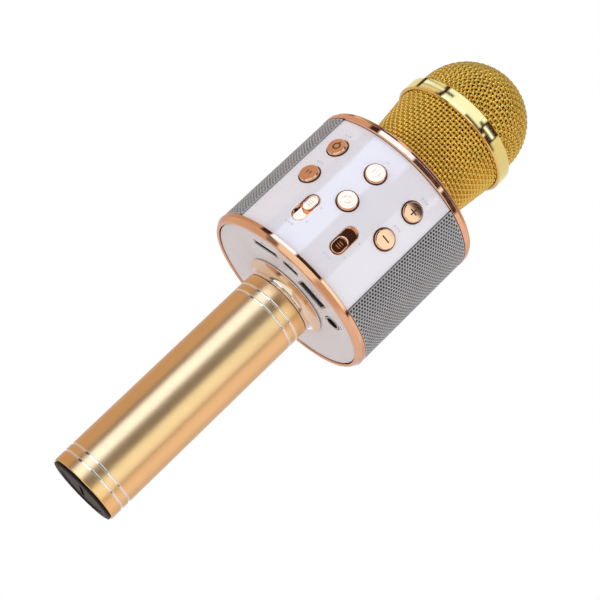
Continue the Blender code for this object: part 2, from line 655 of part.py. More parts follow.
def speaker(side, sign):
    """One side's driver: a basket behind the drum, a magnet, and a cone that moves in and out."""
    rim = SPEAKER_R - 2.2 * MM
    back = -SPEAKER_DEPTH
    neck = 5.2 * MM
    frame_profile = [
        (rim, 0.0), (SPEAKER_R, 0.0), (SPEAKER_R, -1.6 * MM), (SPEAKER_R - 1.1 * MM, -3.8 * MM),
        (MAGNET_R + 1.4 * MM, back), (neck, back), (neck, back + 1.0 * MM),
        (MAGNET_R + 0.2 * MM, back + 1.0 * MM), (rim, -3.6 * MM),
    ]
    magnet_top = back - GAP
    magnet_profile = [
        (0.0, magnet_top), (MAGNET_R, magnet_top), (MAGNET_R, magnet_top - MAGNET_DEPTH), (0.0, magnet_top - MAGNET_DEPTH),
    ]
    coil_r = neck - 0.8 * MM
    coil_end = magnet_top + CONE_TRAVEL + GAP
    cone_rim = rim - 0.5 * MM
    cone_profile = [
        (0.0, -3.6 * MM), (3.0 * MM, -4.1 * MM), (4.6 * MM, -5.0 * MM), (cone_rim - 0.2 * MM, -1.2 * MM),
        (cone_rim, -1.8 * MM), (neck, -6.0 * MM), (coil_r, -6.2 * MM), (coil_r, coil_end), (0.0, coil_end),
    ]
    pieces = (
        turned("speaker_frame_" + side, STEEL, frame_profile, 24),
        turned("speaker_magnet_" + side, STEEL, magnet_profile, 24, closed=False),
        turned("speaker_cone_" + side, PAPER_CONE, cone_profile, 20, closed=False),
    )
    for piece in pieces:
        smooth(piece)
        piece.location = (sign * SPEAKER_FACE_X, 0.0, SPEAKER_Z)
        piece.rotation_euler = (0.0, sign * math.radians(90.0), 0.0)


# ---------------------------------------------------------------- top of the body
TOP_PLATE_Z = SHELL_TOP + 0.9 * MM
TOP_PLATE_WALL = 2.1 * MM
SOCKET_R = HEAD_BASE_R - 4.6 * MM
SOCKET_BORE = 9.0 * MM
SOCKET_TOP = TOP_PLATE_Z + TOP_PLATE_WALL + 6.5 * MM
WASHER_WALL = 1.0 * MM
HEAD_FOOT = TOP_PLATE_Z + TOP_PLATE_WALL + 2.0 * GAP + WASHER_WALL


def top_ring():
    bore = PLATE_R + GAP
    low = SHELL_TOP + GAP
    shoulder = BODY_TOP - 1.2 * MM
    profile = [(bore, BODY_TOP), (BODY_R - 1.9 * MM, BODY_TOP), (BODY_R - 1.5 * MM, BODY_TOP - 0.4 * MM),
               (BODY_R - 1.4 * MM, shoulder)]
    for i in range(4):
        a = math.radians(90.0 - 90.0 * i / 3.0)
        profile.append((BODY_R - 1.0 * MM + 1.0 * MM * math.cos(a), shoulder - 1.0 * MM + 1.0 * MM * math.sin(a)))
    profile += [(BODY_R, low + 0.4 * MM), (BODY_R - 0.4 * MM, low), (bore, low)]
    return smooth(turned("top_ring", ROSE_GOLD, profile, 48))


def top_plate():
    """The lid of the body, with the threaded socket that the head screws on to."""
    high = TOP_PLATE_Z + TOP_PLATE_WALL
    profile = [
        (SOCKET_BORE, SOCKET_TOP), (SOCKET_R - 0.5 * MM, SOCKET_TOP), (SOCKET_R, SOCKET_TOP - 0.5 * MM),
        (SOCKET_R, high), (PLATE_R, high), (PLATE_R, TOP_PLATE_Z), (SOCKET_BORE, TOP_PLATE_Z),
    ]
    return smooth(turned("top_plate", ROSE_GOLD, profile, 40))


def capsule_holder():
    low = SOCKET_TOP + GAP
    cup_floor = BAND_BOTTOM - 0.5 * MM
    cup_top = cup_floor + 5.5 * MM
    bore = 3.0 * MM
    profile = [
        (CAPSULE_R + GAP, cup_top), (CAPSULE_R + 2.0 * MM, cup_top), (CAPSULE_R + 2.0 * MM, cup_floor - 2.0 * MM),
        (CAPSULE_R - 1.0 * MM, cup_floor - 4.5 * MM), (CAPSULE_R - 1.0 * MM, low + 3.5 * MM),
        (SOCKET_BORE + 2.5 * MM, low + 1.8 * MM), (SOCKET_BORE + 2.5 * MM, low), (bore, low),
        (bore, cup_floor), (CAPSULE_R + GAP, cup_floor),
    ]
    smooth(turned("capsule_holder", RUBBER, profile, 20))
    foot = cup_floor + GAP
    capsule = [
        (0.0, foot + 7.0 * MM), (CAPSULE_R - 0.4 * MM, foot + 7.0 * MM), (CAPSULE_R, foot + 6.6 * MM),
        (CAPSULE_R, foot), (0.0, foot),
    ]
    smooth(turned("mic_capsule", STEEL, capsule, 20, closed=False))


# ---------------------------------------------------------------- head
CAPSULE_R = 8.0 * MM
COLLAR_HEIGHT = 5.9 * MM
LOWER_MESH_TOP = HEAD_FOOT + LOWER_MESH_HEIGHT
BAND_BOTTOM = LOWER_MESH_TOP - 1.5 * MM
BAND_TOP = BAND_BOTTOM + BAND_HEIGHT
BAND_R = HEAD_WAIST_R + BAND_PROUD
DOME_FOOT = BAND_TOP - 1.9 * MM
DOME_R = HEAD_WAIST_R - DOME_INSET
DOME_CENTRE = BAND_TOP + DOME_LIFT


def basket_r(z):
    """Outer radius of the lower mesh at a height."""
    share = (z - HEAD_FOOT) / (LOWER_MESH_TOP - HEAD_FOOT)
    return HEAD_BASE_R + (HEAD_WAIST_R - HEAD_BASE_R) * share


def dome_profile(radius, foot, steps):
    """Points down a hemisphere's outside from the axis, and on down to its foot."""
    points = []
    for i in range(steps + 1):
        a = math.radians(90.0 - 90.0 * i / steps)
        points.append((radius * math.cos(a) if i else 0.0, DOME_CENTRE + radius * math.sin(a)))
    return points + [(radius, foot)]


def head_seat():
    low = TOP_PLATE_Z + TOP_PLATE_WALL + GAP
    smooth(ring("head_washer", RUBBER, SOCKET_R + GAP, HEAD_BASE_R - 0.3 * MM, low, low + WASHER_WALL, 28))
    collar_r = HEAD_BASE_R - MESH_WALL - GAP
    smooth(ring("head_collar", STEEL, SOCKET_R + SLIP, collar_r, HEAD_FOOT, HEAD_FOOT + COLLAR_HEIGHT, 28))


def lower_mesh():
    high, low = LOWER_MESH_TOP, HEAD_FOOT
    profile = [
        (HEAD_WAIST_R - MESH_WALL, high), (HEAD_WAIST_R, high), (HEAD_BASE_R, low), (HEAD_BASE_R - MESH_WALL, low),
    ]
    return smooth(turned("lower_mesh", YELLOW_GOLD, profile, 32))


def head_band():
    low, high = BAND_BOTTOM, BAND_TOP
    lower_bore = HEAD_WAIST_R + 2.0 * GAP
    upper_bore = DOME_R + 0.4 * MM
    web_bore = DOME_R - 0.7 * MM
    web_low = LOWER_MESH_TOP + GAP
    web_high = DOME_FOOT - GAP
    profile = [
        (upper_bore, high), (BAND_R - 0.9 * MM, high), (BAND_R, high - 0.7 * MM), (BAND_R, low + 0.5 * MM),
        (BAND_R - 0.4 * MM, low), (lower_bore, low), (lower_bore, web_low), (web_bore, web_low),
        (web_bore, web_high), (upper_bore, web_high),
    ]
    return smooth(turned("head_band", YELLOW_GOLD, profile, 40))


def dome_mesh():
    outer = dome_profile(DOME_R, DOME_FOOT, 7)
    inner = dome_profile(DOME_R - MESH_WALL, DOME_FOOT, 7)
    return smooth(turned("dome_mesh", YELLOW_GOLD, outer + inner[::-1], 32, closed=False))


def foam_windscreen():
    foot = HEAD_FOOT + COLLAR_HEIGHT + 2.0 * MM
    skin_r = DOME_R - MESH_WALL - 0.4 * MM
    outer = dome_profile(skin_r, BAND_BOTTOM, 6)
    outer.append((basket_r(foot) - MESH_WALL - 0.5 * MM, foot))
    bore = CAPSULE_R + 4.5 * MM
    roof = DOME_CENTRE + 2.0 * MM
    inner = [(bore, foot), (bore, roof - 5.0 * MM), (bore - 5.0 * MM, roof), (0.0, roof)]
    return smooth(turned("foam_windscreen", FOAM, outer + inner, 20, closed=False))


# ---------------------------------------------------------------- put it together
handle_tube()
end_cap()
cap_seal()
cap_spring()
battery_cell()
battery_sleeve()
neck_flange()
neck_screws()
battery_lead()

bottom_ring()
bottom_plate()
usb_socket()
small_socket("charge_socket", CHARGE_SIZE, CHARGE_PLACE, 0.4 * MM, 4.0 * MM)
small_socket("card_socket", CARD_SIZE, CARD_PLACE, 0.6 * MM, 11.0 * MM)
audio_jack()

speaker_grille()
inner_drum()
front_panel()
key_board()
for (column, row), name in KEY_NAMES.items():
    key(name, column * KEY_COLUMN, KEY_ROWS[row])
    tact_switch(name, column * KEY_COLUMN, KEY_ROWS[row])
slide_switch("left", -SWITCH_COLUMN, SWITCH_Z + KNOB_TRAVEL / 2.0)
slide_switch("right", SWITCH_COLUMN, SWITCH_Z - KNOB_TRAVEL / 2.0)
main_board()
speaker("left", -1.0)
speaker("right", 1.0)

top_ring()
top_plate()
capsule_holder()
head_seat()
lower_mesh()
head_band()
dome_mesh()
foam_windscreen()
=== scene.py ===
import math
import random

import bmesh
import bpy
import numpy as np
from mathutils import Matrix, Vector


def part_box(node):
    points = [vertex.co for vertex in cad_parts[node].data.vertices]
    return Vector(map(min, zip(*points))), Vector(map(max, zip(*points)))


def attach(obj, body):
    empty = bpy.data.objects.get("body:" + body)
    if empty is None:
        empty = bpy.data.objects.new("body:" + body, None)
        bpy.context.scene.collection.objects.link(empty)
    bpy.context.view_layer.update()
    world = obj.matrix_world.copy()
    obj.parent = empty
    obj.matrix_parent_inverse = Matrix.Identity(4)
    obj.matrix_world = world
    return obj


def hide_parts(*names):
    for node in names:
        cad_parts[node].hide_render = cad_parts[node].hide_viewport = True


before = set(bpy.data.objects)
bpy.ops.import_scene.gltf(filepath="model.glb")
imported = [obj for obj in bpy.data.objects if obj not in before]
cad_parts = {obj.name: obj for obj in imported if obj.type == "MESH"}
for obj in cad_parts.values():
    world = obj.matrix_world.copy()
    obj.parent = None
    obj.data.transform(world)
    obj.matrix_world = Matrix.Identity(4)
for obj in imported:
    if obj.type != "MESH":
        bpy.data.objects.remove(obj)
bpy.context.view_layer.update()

MM = 0.001

# ------------------------------------------------------------------------------------------
# Camera. A long lens looks up at the microphone from a little below and to the right of its
# control panel, rolled so that the upright microphone lies along the frame's diagonal.
# ------------------------------------------------------------------------------------------
camera_side = math.radians(14.2)
camera_height = math.radians(-16.47)
camera_lean = math.radians(46.08)
camera_distance = 0.6393
camera_aim = Vector((0.00511, 0.00118, 0.11487))

camera_back = Vector((
    math.sin(camera_side) * math.cos(camera_height),
    -math.cos(camera_side) * math.cos(camera_height),
    math.sin(camera_height),
))
camera = bpy.data.objects.new("camera", bpy.data.cameras.new("camera"))
camera.data.lens = 96.0
camera.data.sensor_width = 36.0
camera.data.clip_start = 0.01
camera.rotation_mode = "QUATERNION"
camera.location = camera_aim + camera_back * camera_distance
level = (-camera_back).to_track_quat("-Z", "Y")
camera.rotation_quaternion = level @ Matrix.Rotation(camera_lean, 4, "Z").to_quaternion()
bpy.context.scene.collection.objects.link(camera)
bpy.context.scene.camera = camera
bpy.context.scene.view_settings.view_transform = "Standard"

# ------------------------------------------------------------------------------------------
# Studio. A pale table top under the standing microphone and a white room. Tall soft boxes
# and dark flags stand round it, and the polished metal shows them as bands along its axis.
# ------------------------------------------------------------------------------------------
table_size = 3.0
table_colour = (0.86, 0.86, 0.87)
table_roughness = 0.7
room_light = 0.97              # what falls on matt surfaces from all round
low_light = (0.74, 0.70, 0.68)   # the pale floor, mixed into what downward faces reflect
low_share = 0.25

# the polished metal's surroundings: rows of (degrees from the control panel towards the plus
# and minus keys, colour), one row for each height above the horizon
flag = (0.05, 0.022, 0.015)
copper_wall = (0.58, 0.41, 0.28)
blush_wall = (0.88, 0.73, 0.65)
white_box = (1.40, 1.75, 2.45)
cream_box = (1.14, 1.25, 1.20)
gold_wall = (0.86, 0.88, 0.72)
plate_box = (1.10, 1.32, 1.70)
low_row = (
    (-180, (0.80, 0.95, 1.25)), (-172, (1.0, 1.25, 1.7)), (-164, (0.75, 0.80, 1.0)), (-150, (0.62, 0.56, 0.66)),
    (-130, (0.58, 0.43, 0.34)), (-105, (0.54, 0.38, 0.25)), (-66, copper_wall), (-62, flag), (-49, flag),
    (-46, white_box), (-12, white_box), (-9, flag), (28, flag), (31, cream_box), (54, cream_box),
    (64, (1.07, 1.12, 1.12)), (74, (0.98, 0.92, 0.82)), (77, (0.10, 0.045, 0.03)), (82, (0.12, 0.055, 0.035)),
    (85, blush_wall), (122, (0.90, 0.76, 0.70)), (140, (0.68, 0.54, 0.46)), (160, (0.58, 0.54, 0.52)),
    (172, (0.64, 0.68, 0.80)), (180, (0.80, 0.95, 1.25)),
)
under_row = (
    (-180, (0.72, 0.58, 0.50)), (-66, (0.62, 0.42, 0.28)), (-62, (0.09, 0.045, 0.03)), (-48, (0.09, 0.045, 0.03)),
    (-43, (1.0, 1.02, 0.90)), (24, (1.0, 1.02, 0.90)), (33, (0.56, 0.37, 0.24)), (76, (0.60, 0.42, 0.28)),
    (92, (0.84, 0.70, 0.62)), (140, (0.78, 0.66, 0.60)), (180, (0.72, 0.58, 0.50)),
)
ring_row = (
    (-180, blush_wall), (-140, (0.66, 0.50, 0.42)), (-66, (0.70, 0.48, 0.36)), (-62, flag), (-51, flag),
    (-48, white_box), (2, white_box), (5, flag), (47, flag), (49, cream_box), (52, cream_box), (54, flag),
    (83, flag), (88, blush_wall), (130, blush_wall), (160, (0.66, 0.52, 0.44)), (180, blush_wall),
)
band_row = (
    (-180, gold_wall), (-118, gold_wall), (-113, flag), (-107, flag), (-104, gold_wall), (-60, gold_wall),
    (-56, flag), (-50, flag), (-47, plate_box), (36, plate_box), (39, flag), (69, flag), (72, gold_wall),
    (130, (0.80, 0.82, 0.80)), (180, gold_wall),
)
line_row = (
    (-180, gold_wall), (-118, gold_wall), (-113, flag), (-50, flag), (-47, plate_box), (32, plate_box),
    (35, flag), (69, flag), (72, gold_wall), (130, (0.80, 0.82, 0.80)), (180, gold_wall),
)
stripe_row = (
    (-180, gold_wall), (-118, gold_wall), (-113, flag), (-107, flag), (-104, plate_box), (-56, plate_box),
    (-54, flag), (-34, flag), (-31, plate_box), (28, plate_box), (31, flag), (40, flag), (42, white_box),
    (66, white_box), (69, flag), (72, gold_wall), (130, (0.80, 0.82, 0.80)), (180, gold_wall),
)
high_row = (
    (-180, (0.62, 0.52, 0.44)), (-110, (0.45, 0.30, 0.20)), (-70, (0.16, 0.09, 0.06)), (-30, (0.10, 0.05, 0.035)),
    (-26, (0.85, 0.80, 0.66)), (-8, (0.85, 0.80, 0.66)), (-4, (0.10, 0.05, 0.035)), (60, (0.13, 0.07, 0.05)),
    (100, (0.42, 0.30, 0.22)), (150, (0.60, 0.48, 0.40)), (180, (0.62, 0.52, 0.44)),
)
overhead = ((-180, (0.62, 0.58, 0.54)), (180, (0.62, 0.58, 0.54)))
# how high each row starts, as the sine of its height, and how softly it takes over
rows_upwards = (
    (None, 0.0, under_row), (-0.10, 0.10, low_row), (0.3714, 0.002, ring_row), (0.4035, 0.002, band_row),
    (0.4190, 0.0012, line_row), (0.4226, 0.0012, stripe_row), (0.4384, 0.0012, line_row),
    (0.4420, 0.0012, band_row), (0.52, 0.02, high_row), (0.86, 0.10, overhead),
)


def node(tree, kind, at, **settings):
    """A shader node with its plain settings and the values of its inputs."""
    made = tree.nodes.new(kind)
    made.location = at
    for key, value in settings.items():
        if key.startswith("in_"):
            index = int(key[3:]) if key[3:].isdigit() else key[3:].replace("_", " ")
            made.inputs[index].default_value = value
        else:
            setattr(made, key, value)
    return made


def link(tree, pairs):
    """Join each output to an input."""
    for start, end in pairs:
        tree.links.new(start, end)


def ramp(tree, at, stops):
    """A colour ramp with (position, colour) stops."""
    made = node(tree, "ShaderNodeValToRGB", at)
    elements = made.color_ramp.elements
    elements.remove(elements[-1])
    elements[0].position = stops[0][0]
    elements[0].color = (*stops[0][1], 1.0)
    for place, colour in stops[1:]:
        elements.new(place).color = (*colour, 1.0)
    return made


table = bpy.data.objects.new("table", bpy.data.meshes.new("table"))
half = table_size / 2.0
table.data.from_pydata([(-half, -half, 0), (half, -half, 0), (half, half, 0), (-half, half, 0)], [], [(0, 1, 2, 3)])
bpy.context.scene.collection.objects.link(table)
table_mat = bpy.data.materials.new("table_top")
table_mat.use_nodes = True
tree = table_mat.node_tree
paint = tree.nodes["Principled BSDF"]
paint.inputs["Base Color"].default_value = (*table_colour, 1.0)
paint.inputs["Roughness"].default_value = table_roughness
clear = node(tree, "ShaderNodeBsdfTransparent", (0, -300))
side = node(tree, "ShaderNodeNewGeometry", (-300, 200))
mix = node(tree, "ShaderNodeMixShader", (300, 0))
link(tree, (
    (side.outputs["Backfacing"], mix.inputs[0]), (paint.outputs[0], mix.inputs[1]), (clear.outputs[0], mix.inputs[2]),
    (mix.outputs[0], tree.nodes["Material Output"].inputs[0]),
))
table.data.materials.append(table_mat)
table.visible_shadow = False
table.visible_glossy = False

world = bpy.data.worlds.new("studio")
world.use_nodes = True
bpy.context.scene.world = world
tree = world.node_tree
background = tree.nodes["Background"]
background.inputs[1].default_value = 1.0
where = node(tree, "ShaderNodeTexCoord", (-1400, 0))
split = node(tree, "ShaderNodeSeparateXYZ", (-1200, 0))
flip = node(tree, "ShaderNodeMath", (-1100, -200), operation="MULTIPLY", in_1=-1.0)
turn = node(tree, "ShaderNodeMath", (-1000, 0), operation="ARCTAN2")
around = node(tree, "ShaderNodeMapRange", (-800, 0), in_1=-math.pi, in_2=math.pi)
rows = {}
shown = None
for at, (start_height, softness, row) in enumerate(rows_upwards):
    if id(row) not in rows:
        rows[id(row)] = ramp(tree, (-600, -300 * at), [((angle + 180.0) / 360.0, colour) for angle, colour in row])
        tree.links.new(around.outputs[0], rows[id(row)].inputs[0])
    if start_height is None:
        shown = rows[id(row)].outputs[0]
        continue
    take_over = node(
        tree, "ShaderNodeMapRange", (-800, -300 * at), in_1=start_height - softness, in_2=start_height + softness)
    step = node(tree, "ShaderNodeMix", (-350, -300 * at), data_type="RGBA")
    link(tree, (
        (split.outputs["Z"], take_over.inputs[0]), (take_over.outputs[0], step.inputs[0]), (shown, step.inputs[6]),
        (rows[id(row)].outputs[0], step.inputs[7]),
    ))
    shown = step.outputs[2]
below = node(tree, "ShaderNodeMapRange", (-800, -300), in_1=-0.02, in_2=-0.30, in_3=0.0, in_4=low_share)
floor_glow = node(tree, "ShaderNodeMix", (-300, -200), data_type="RGBA")
floor_glow.inputs[7].default_value = (*low_light, 1.0)
seen = node(tree, "ShaderNodeLightPath", (-600, 400))
matt = node(tree, "ShaderNodeMix", (-100, 0), data_type="RGBA")
matt.inputs[6].default_value = (room_light, room_light, room_light, 1.0)
room = node(tree, "ShaderNodeMix", (100, 0), data_type="RGBA")
room.inputs[7].default_value = (1.0, 1.0, 1.0, 1.0)
link(tree, (
    (where.outputs["Generated"], split.inputs[0]), (split.outputs["X"], turn.inputs[0]),
    (split.outputs["Y"], flip.inputs[0]), (flip.outputs[0], turn.inputs[1]),
    (turn.outputs[0], around.inputs[0]),
    (split.outputs["Z"], below.inputs[0]), (below.outputs[0], floor_glow.inputs[0]),
    (shown, floor_glow.inputs[6]), (floor_glow.outputs[2], matt.inputs[7]),
    (seen.outputs["Is Glossy Ray"], matt.inputs[0]), (matt.outputs[2], room.inputs[6]),
    (seen.outputs["Is Camera Ray"], room.inputs[0]), (room.outputs[2], background.inputs[0]),
))

# ------------------------------------------------------------------------------------------
# Handle tube. A drawn aluminium tube, blasted and anodised satin gold. Two pairs of grooves
# near its ends are turned after the anodising, so their faces are bright bare metal.
# ------------------------------------------------------------------------------------------
tube_wall = 1.3 * MM
tube_edge = 0.35 * MM
groove_width = 0.95 * MM
groove_depth = 0.35 * MM
groove_from_end = 5.3 * MM
groove_pitch = 3.7 * MM
satin_gold_colour = (0.97, 0.60, 0.255)
bare_metal_colour = (0.92, 0.91, 0.90)


def new_group(name, inputs, outputs):
    """An empty shader node group, and its two ends."""
    group = bpy.data.node_groups.new(name, "ShaderNodeTree")
    for label, value in inputs:
        socket = group.interface.new_socket(label, in_out="INPUT", socket_type="NodeSocketFloat")
        socket.default_value = value
    for label in outputs:
        group.interface.new_socket(label, in_out="OUTPUT", socket_type="NodeSocketFloat")
    return group, node(group, "NodeGroupInput", (-1000, 0)), node(group, "NodeGroupOutput", (800, 0))


def millimetres(tree, at):
    """Places on the piece, in millimetres."""
    place = node(tree, "ShaderNodeTexCoord", at)
    grown = node(tree, "ShaderNodeVectorMath", (at[0] + 200, at[1]), operation="SCALE")
    grown.inputs["Scale"].default_value = 1.0 / MM
    tree.links.new(place.outputs["Object"], grown.inputs[0])
    return grown.outputs[0]


# fine grain: blasting, moulding texture and pores, Size in millimetres
grain_group, start, end = new_group("fine_grain", (("Size", 0.3), ("Depth", 0.1)), ("Height", "Tone"))
place = millimetres(grain_group, (-1000, -300))
finer = node(grain_group, "ShaderNodeMath", (-800, 200), operation="DIVIDE", in_0=1.0)
fine = node(grain_group, "ShaderNodeTexNoise", (-500, 0), in_Detail=3.0, in_Roughness=0.6)
patch = node(grain_group, "ShaderNodeTexNoise", (-500, -300), in_Scale=0.11, in_Detail=2.0)
lift = node(grain_group, "ShaderNodeMath", (-200, 0), operation="MULTIPLY")
tone = node(grain_group, "ShaderNodeMath", (0, -200), operation="MULTIPLY_ADD", in_1=0.5)
link(grain_group, (
    (start.outputs["Size"], finer.inputs[1]), (finer.outputs[0], fine.inputs["Scale"]),
    (place, fine.inputs["Vector"]), (place, patch.inputs["Vector"]), (fine.outputs["Fac"], lift.inputs[0]),
    (start.outputs["Depth"], lift.inputs[1]), (lift.outputs[0], end.inputs["Height"]),
    (fine.outputs["Fac"], tone.inputs[0]), (patch.outputs["Fac"], tone.inputs[2]),
    (tone.outputs[0], end.inputs["Tone"]),
))

# handling: finger smears, and short hairline scratches from being put down and picked up
hand_group, start, end = new_group("handling", (("Smears", 0.5), ("Scratches", 0.3)), ("Mask",))
place = millimetres(hand_group, (-1200, -300))
smear = node(hand_group, "ShaderNodeTexNoise", (-700, 200), in_Scale=0.09, in_Detail=4.0, in_Distortion=1.6)
smear_edge = node(hand_group, "ShaderNodeMapRange", (-450, 200), in_1=0.50, in_2=0.72)
long = node(hand_group, "ShaderNodeMapping", (-900, -300))
long.inputs["Rotation"].default_value = (0.4, 0.9, 0.3)
long.inputs["Scale"].default_value = (4.0, 0.12, 4.0)
hair = node(hand_group, "ShaderNodeTexNoise", (-700, -300), in_Scale=1.0, in_Detail=1.0)
hair_edge = node(hand_group, "ShaderNodeMapRange", (-450, -300), in_1=0.70, in_2=0.74)
smears = node(hand_group, "ShaderNodeMath", (-200, 200), operation="MULTIPLY")
hairs = node(hand_group, "ShaderNodeMath", (-200, -300), operation="MULTIPLY")
both = node(hand_group, "ShaderNodeMath", (100, 0), operation="MAXIMUM")
link(hand_group, (
    (place, smear.inputs["Vector"]), (smear.outputs["Fac"], smear_edge.inputs[0]), (place, long.inputs["Vector"]),
    (long.outputs[0], hair.inputs["Vector"]), (hair.outputs["Fac"], hair_edge.inputs[0]),
    (smear_edge.outputs[0], smears.inputs[0]), (start.outputs["Smears"], smears.inputs[1]),
    (hair_edge.outputs[0], hairs.inputs[0]), (start.outputs["Scratches"], hairs.inputs[1]),
    (smears.outputs[0], both.inputs[0]), (hairs.outputs[0], both.inputs[1]), (both.outputs[0], end.inputs["Mask"]),
))

# rubbed edges: bright where the surface turns outwards, dull where it turns inwards
edge_group, start, end = new_group("rubbed_edges", (("Reach", 0.06), ("Amount", 0.6)), ("Worn", "Sunk"))
shape = node(edge_group, "ShaderNodeNewGeometry", (-1000, -300))
over = node(edge_group, "ShaderNodeMath", (-800, 0), operation="ADD", in_1=0.5)
out_edge = node(edge_group, "ShaderNodeMapRange", (-500, 0), in_1=0.5)
under = node(edge_group, "ShaderNodeMath", (-800, -200), operation="SUBTRACT", in_0=0.5)
in_edge = node(edge_group, "ShaderNodeMapRange", (-500, -250), in_1=0.5, in_3=0.0, in_4=1.0)
worn = node(edge_group, "ShaderNodeMath", (-200, 0), operation="MULTIPLY")
sunk = node(edge_group, "ShaderNodeMath", (-200, -250), operation="MULTIPLY")
link(edge_group, (
    (start.outputs["Reach"], over.inputs[0]), (shape.outputs["Pointiness"], out_edge.inputs[0]),
    (over.outputs[0], out_edge.inputs[2]), (start.outputs["Reach"], under.inputs[1]),
    (shape.outputs["Pointiness"], in_edge.inputs[0]), (under.outputs[0], in_edge.inputs[2]),
    (out_edge.outputs[0], worn.inputs[0]), (start.outputs["Amount"], worn.inputs[1]),
    (in_edge.outputs[0], sunk.inputs[0]), (start.outputs["Amount"], sunk.inputs[1]),
    (worn.outputs[0], end.inputs["Worn"]), (sunk.outputs[0], end.inputs["Sunk"]),
))


def finish(name, colour, roughness, metallic=0.0, grain=(0.3, 0.02), tone=0.08, smears=0.4, scratches=0.3,
           dull=0.12, worn=(0.0, None), **shader_values):
    """A surface: its colour mottled by its grain and changed on rubbed edges, its roughness by handling."""
    mat = bpy.data.materials.new(name)
    mat.use_nodes = True
    tree = mat.node_tree
    shader = tree.nodes["Principled BSDF"]
    shader.inputs["Metallic"].default_value = metallic
    for key, value in shader_values.items():
        shader.inputs[key.replace("_", " ")].default_value = value
    grain_node = node(tree, "ShaderNodeGroup", (-900, -200), node_tree=grain_group)
    grain_node.inputs["Size"].default_value = grain[0]
    grain_node.inputs["Depth"].default_value = grain[1]
    hand_node = node(tree, "ShaderNodeGroup", (-900, 300), node_tree=hand_group)
    hand_node.inputs["Smears"].default_value = smears
    hand_node.inputs["Scratches"].default_value = scratches
    spread = node(tree, "ShaderNodeMapRange", (-650, -50), in_1=0.45, in_2=1.05)
    colours = node(tree, "ShaderNodeMix", (-400, 100), data_type="RGBA")
    colours.inputs[6].default_value = (*[c * (1.0 - tone) for c in colour], 1.0)
    colours.inputs[7].default_value = (*[min(1.0, c * (1.0 + tone)) for c in colour], 1.0)
    rough = node(tree, "ShaderNodeMapRange", (-400, 400), in_3=roughness, in_4=roughness + dull)
    bump = node(tree, "ShaderNodeBump", (-400, -300), in_Strength=1.0, in_Distance=MM)
    links = [
        (grain_node.outputs["Tone"], spread.inputs[0]), (spread.outputs[0], colours.inputs[0]),
        (hand_node.outputs["Mask"], rough.inputs[0]), (rough.outputs[0], shader.inputs["Roughness"]),
        (grain_node.outputs["Height"], bump.inputs["Height"]), (bump.outputs[0], shader.inputs["Normal"]),
    ]
    if worn[0]:
        edges = node(tree, "ShaderNodeGroup", (-650, 700), node_tree=edge_group)
        edges.inputs["Amount"].default_value = worn[0]
        rubbed = node(tree, "ShaderNodeMix", (-150, 100), data_type="RGBA")
        rubbed.inputs[7].default_value = (*worn[1], 1.0)
        links += [
            (edges.outputs["Worn"], rubbed.inputs[0]), (colours.outputs[2], rubbed.inputs[6]),
            (rubbed.outputs[2], shader.inputs["Base Color"]),
        ]
    else:
        links.append((colours.outputs[2], shader.inputs["Base Color"]))
    link(tree, links)
    return mat


def rounded(profile, closed=True, steps=4, hold=0.06 * MM):
    """The profile's points, each third value being the radius that its corner is rounded to. A point
    is held close to each end of a rounding, so that the long faces beside it stay flat in the light."""
    count = len(profile)
    corners = [Vector(point[:2]) for point in profile]
    radii = [point[2] if len(point) > 2 and (closed or 0 < i < count - 1) else 0.0 for i, point in enumerate(profile)]
    turns = [(corners[i - 1] - corners[i]).angle(corners[(i + 1) % count] - corners[i]) for i in range(count)]
    reach = [radius / math.tan(turn / 2.0) if radius else 0.0 for radius, turn in zip(radii, turns)]
    points = []
    for i, here in enumerate(corners):
        if not radii[i]:
            points.append(tuple(here))
            continue
        following = (i + 1) % count
        back, on = corners[i - 1] - here, corners[following] - here
        room_back = back.length - reach[i] - reach[i - 1]
        room_on = on.length - reach[i] - reach[following]
        back.normalize()
        on.normalize()
        centre = here + (back + on).normalized() * (radii[i] / math.sin(turns[i] / 2.0))
        first, last = here + back * reach[i] - centre, here + on * reach[i] - centre
        sweep = first.angle_signed(last)
        if room_back > 4.0 * hold:
            points.append(tuple(here + back * (reach[i] + hold)))
        for k in range(steps + 1):
            arm = first.copy()
            arm.rotate(Matrix.Rotation(-sweep * k / steps, 2))
            points.append(tuple(centre + arm))
        if room_on > 4.0 * hold:
            points.append(tuple(here + on * (reach[i] + hold)))
    return points


def add_object(name, mesh, *mats):
    made = bpy.data.objects.new(name, mesh)
    bpy.context.scene.collection.objects.link(made)
    for mat in mats:
        mesh.materials.append(mat)
    return made


def shade(mesh, angle=32.0):
    """Shade smooth, except over edges sharper than angle."""
    mesh.polygons.foreach_set("use_smooth", [True] * len(mesh.polygons))
    mesh.set_sharp_from_angle(angle=math.radians(angle))


def outward(mesh):
    """Turn every face outwards."""
    work = bmesh.new()
    work.from_mesh(mesh)
    bmesh.ops.recalc_face_normals(work, faces=work.faces)
    work.to_mesh(mesh)
    work.free()


def lathe(name, profile, turns=128, closed=True):
    """A mesh turned about Z from (radius, height) points. An open profile starts and ends on the axis."""
    verts = []
    rows = []
    for r, z in profile:
        if r < 1e-9:
            rows.append([len(verts)] * turns)
            verts.append((0.0, 0.0, z))
            continue
        rows.append(list(range(len(verts), len(verts) + turns)))
        angles = [2.0 * math.pi * k / turns for k in range(turns)]
        verts += [(r * math.cos(a), r * math.sin(a), z) for a in angles]
    faces = []
    pairs = list(zip(rows, rows[1:])) + ([(rows[-1], rows[0])] if closed else [])
    for lower, upper in pairs:
        for k in range(turns):
            ring = (lower[k], lower[(k + 1) % turns], upper[(k + 1) % turns], upper[k])
            faces.append(tuple(dict.fromkeys(ring)))
    mesh = bpy.data.meshes.new(name)
    mesh.from_pydata(verts, [], faces)
    outward(mesh)
    shade(mesh)
    return mesh


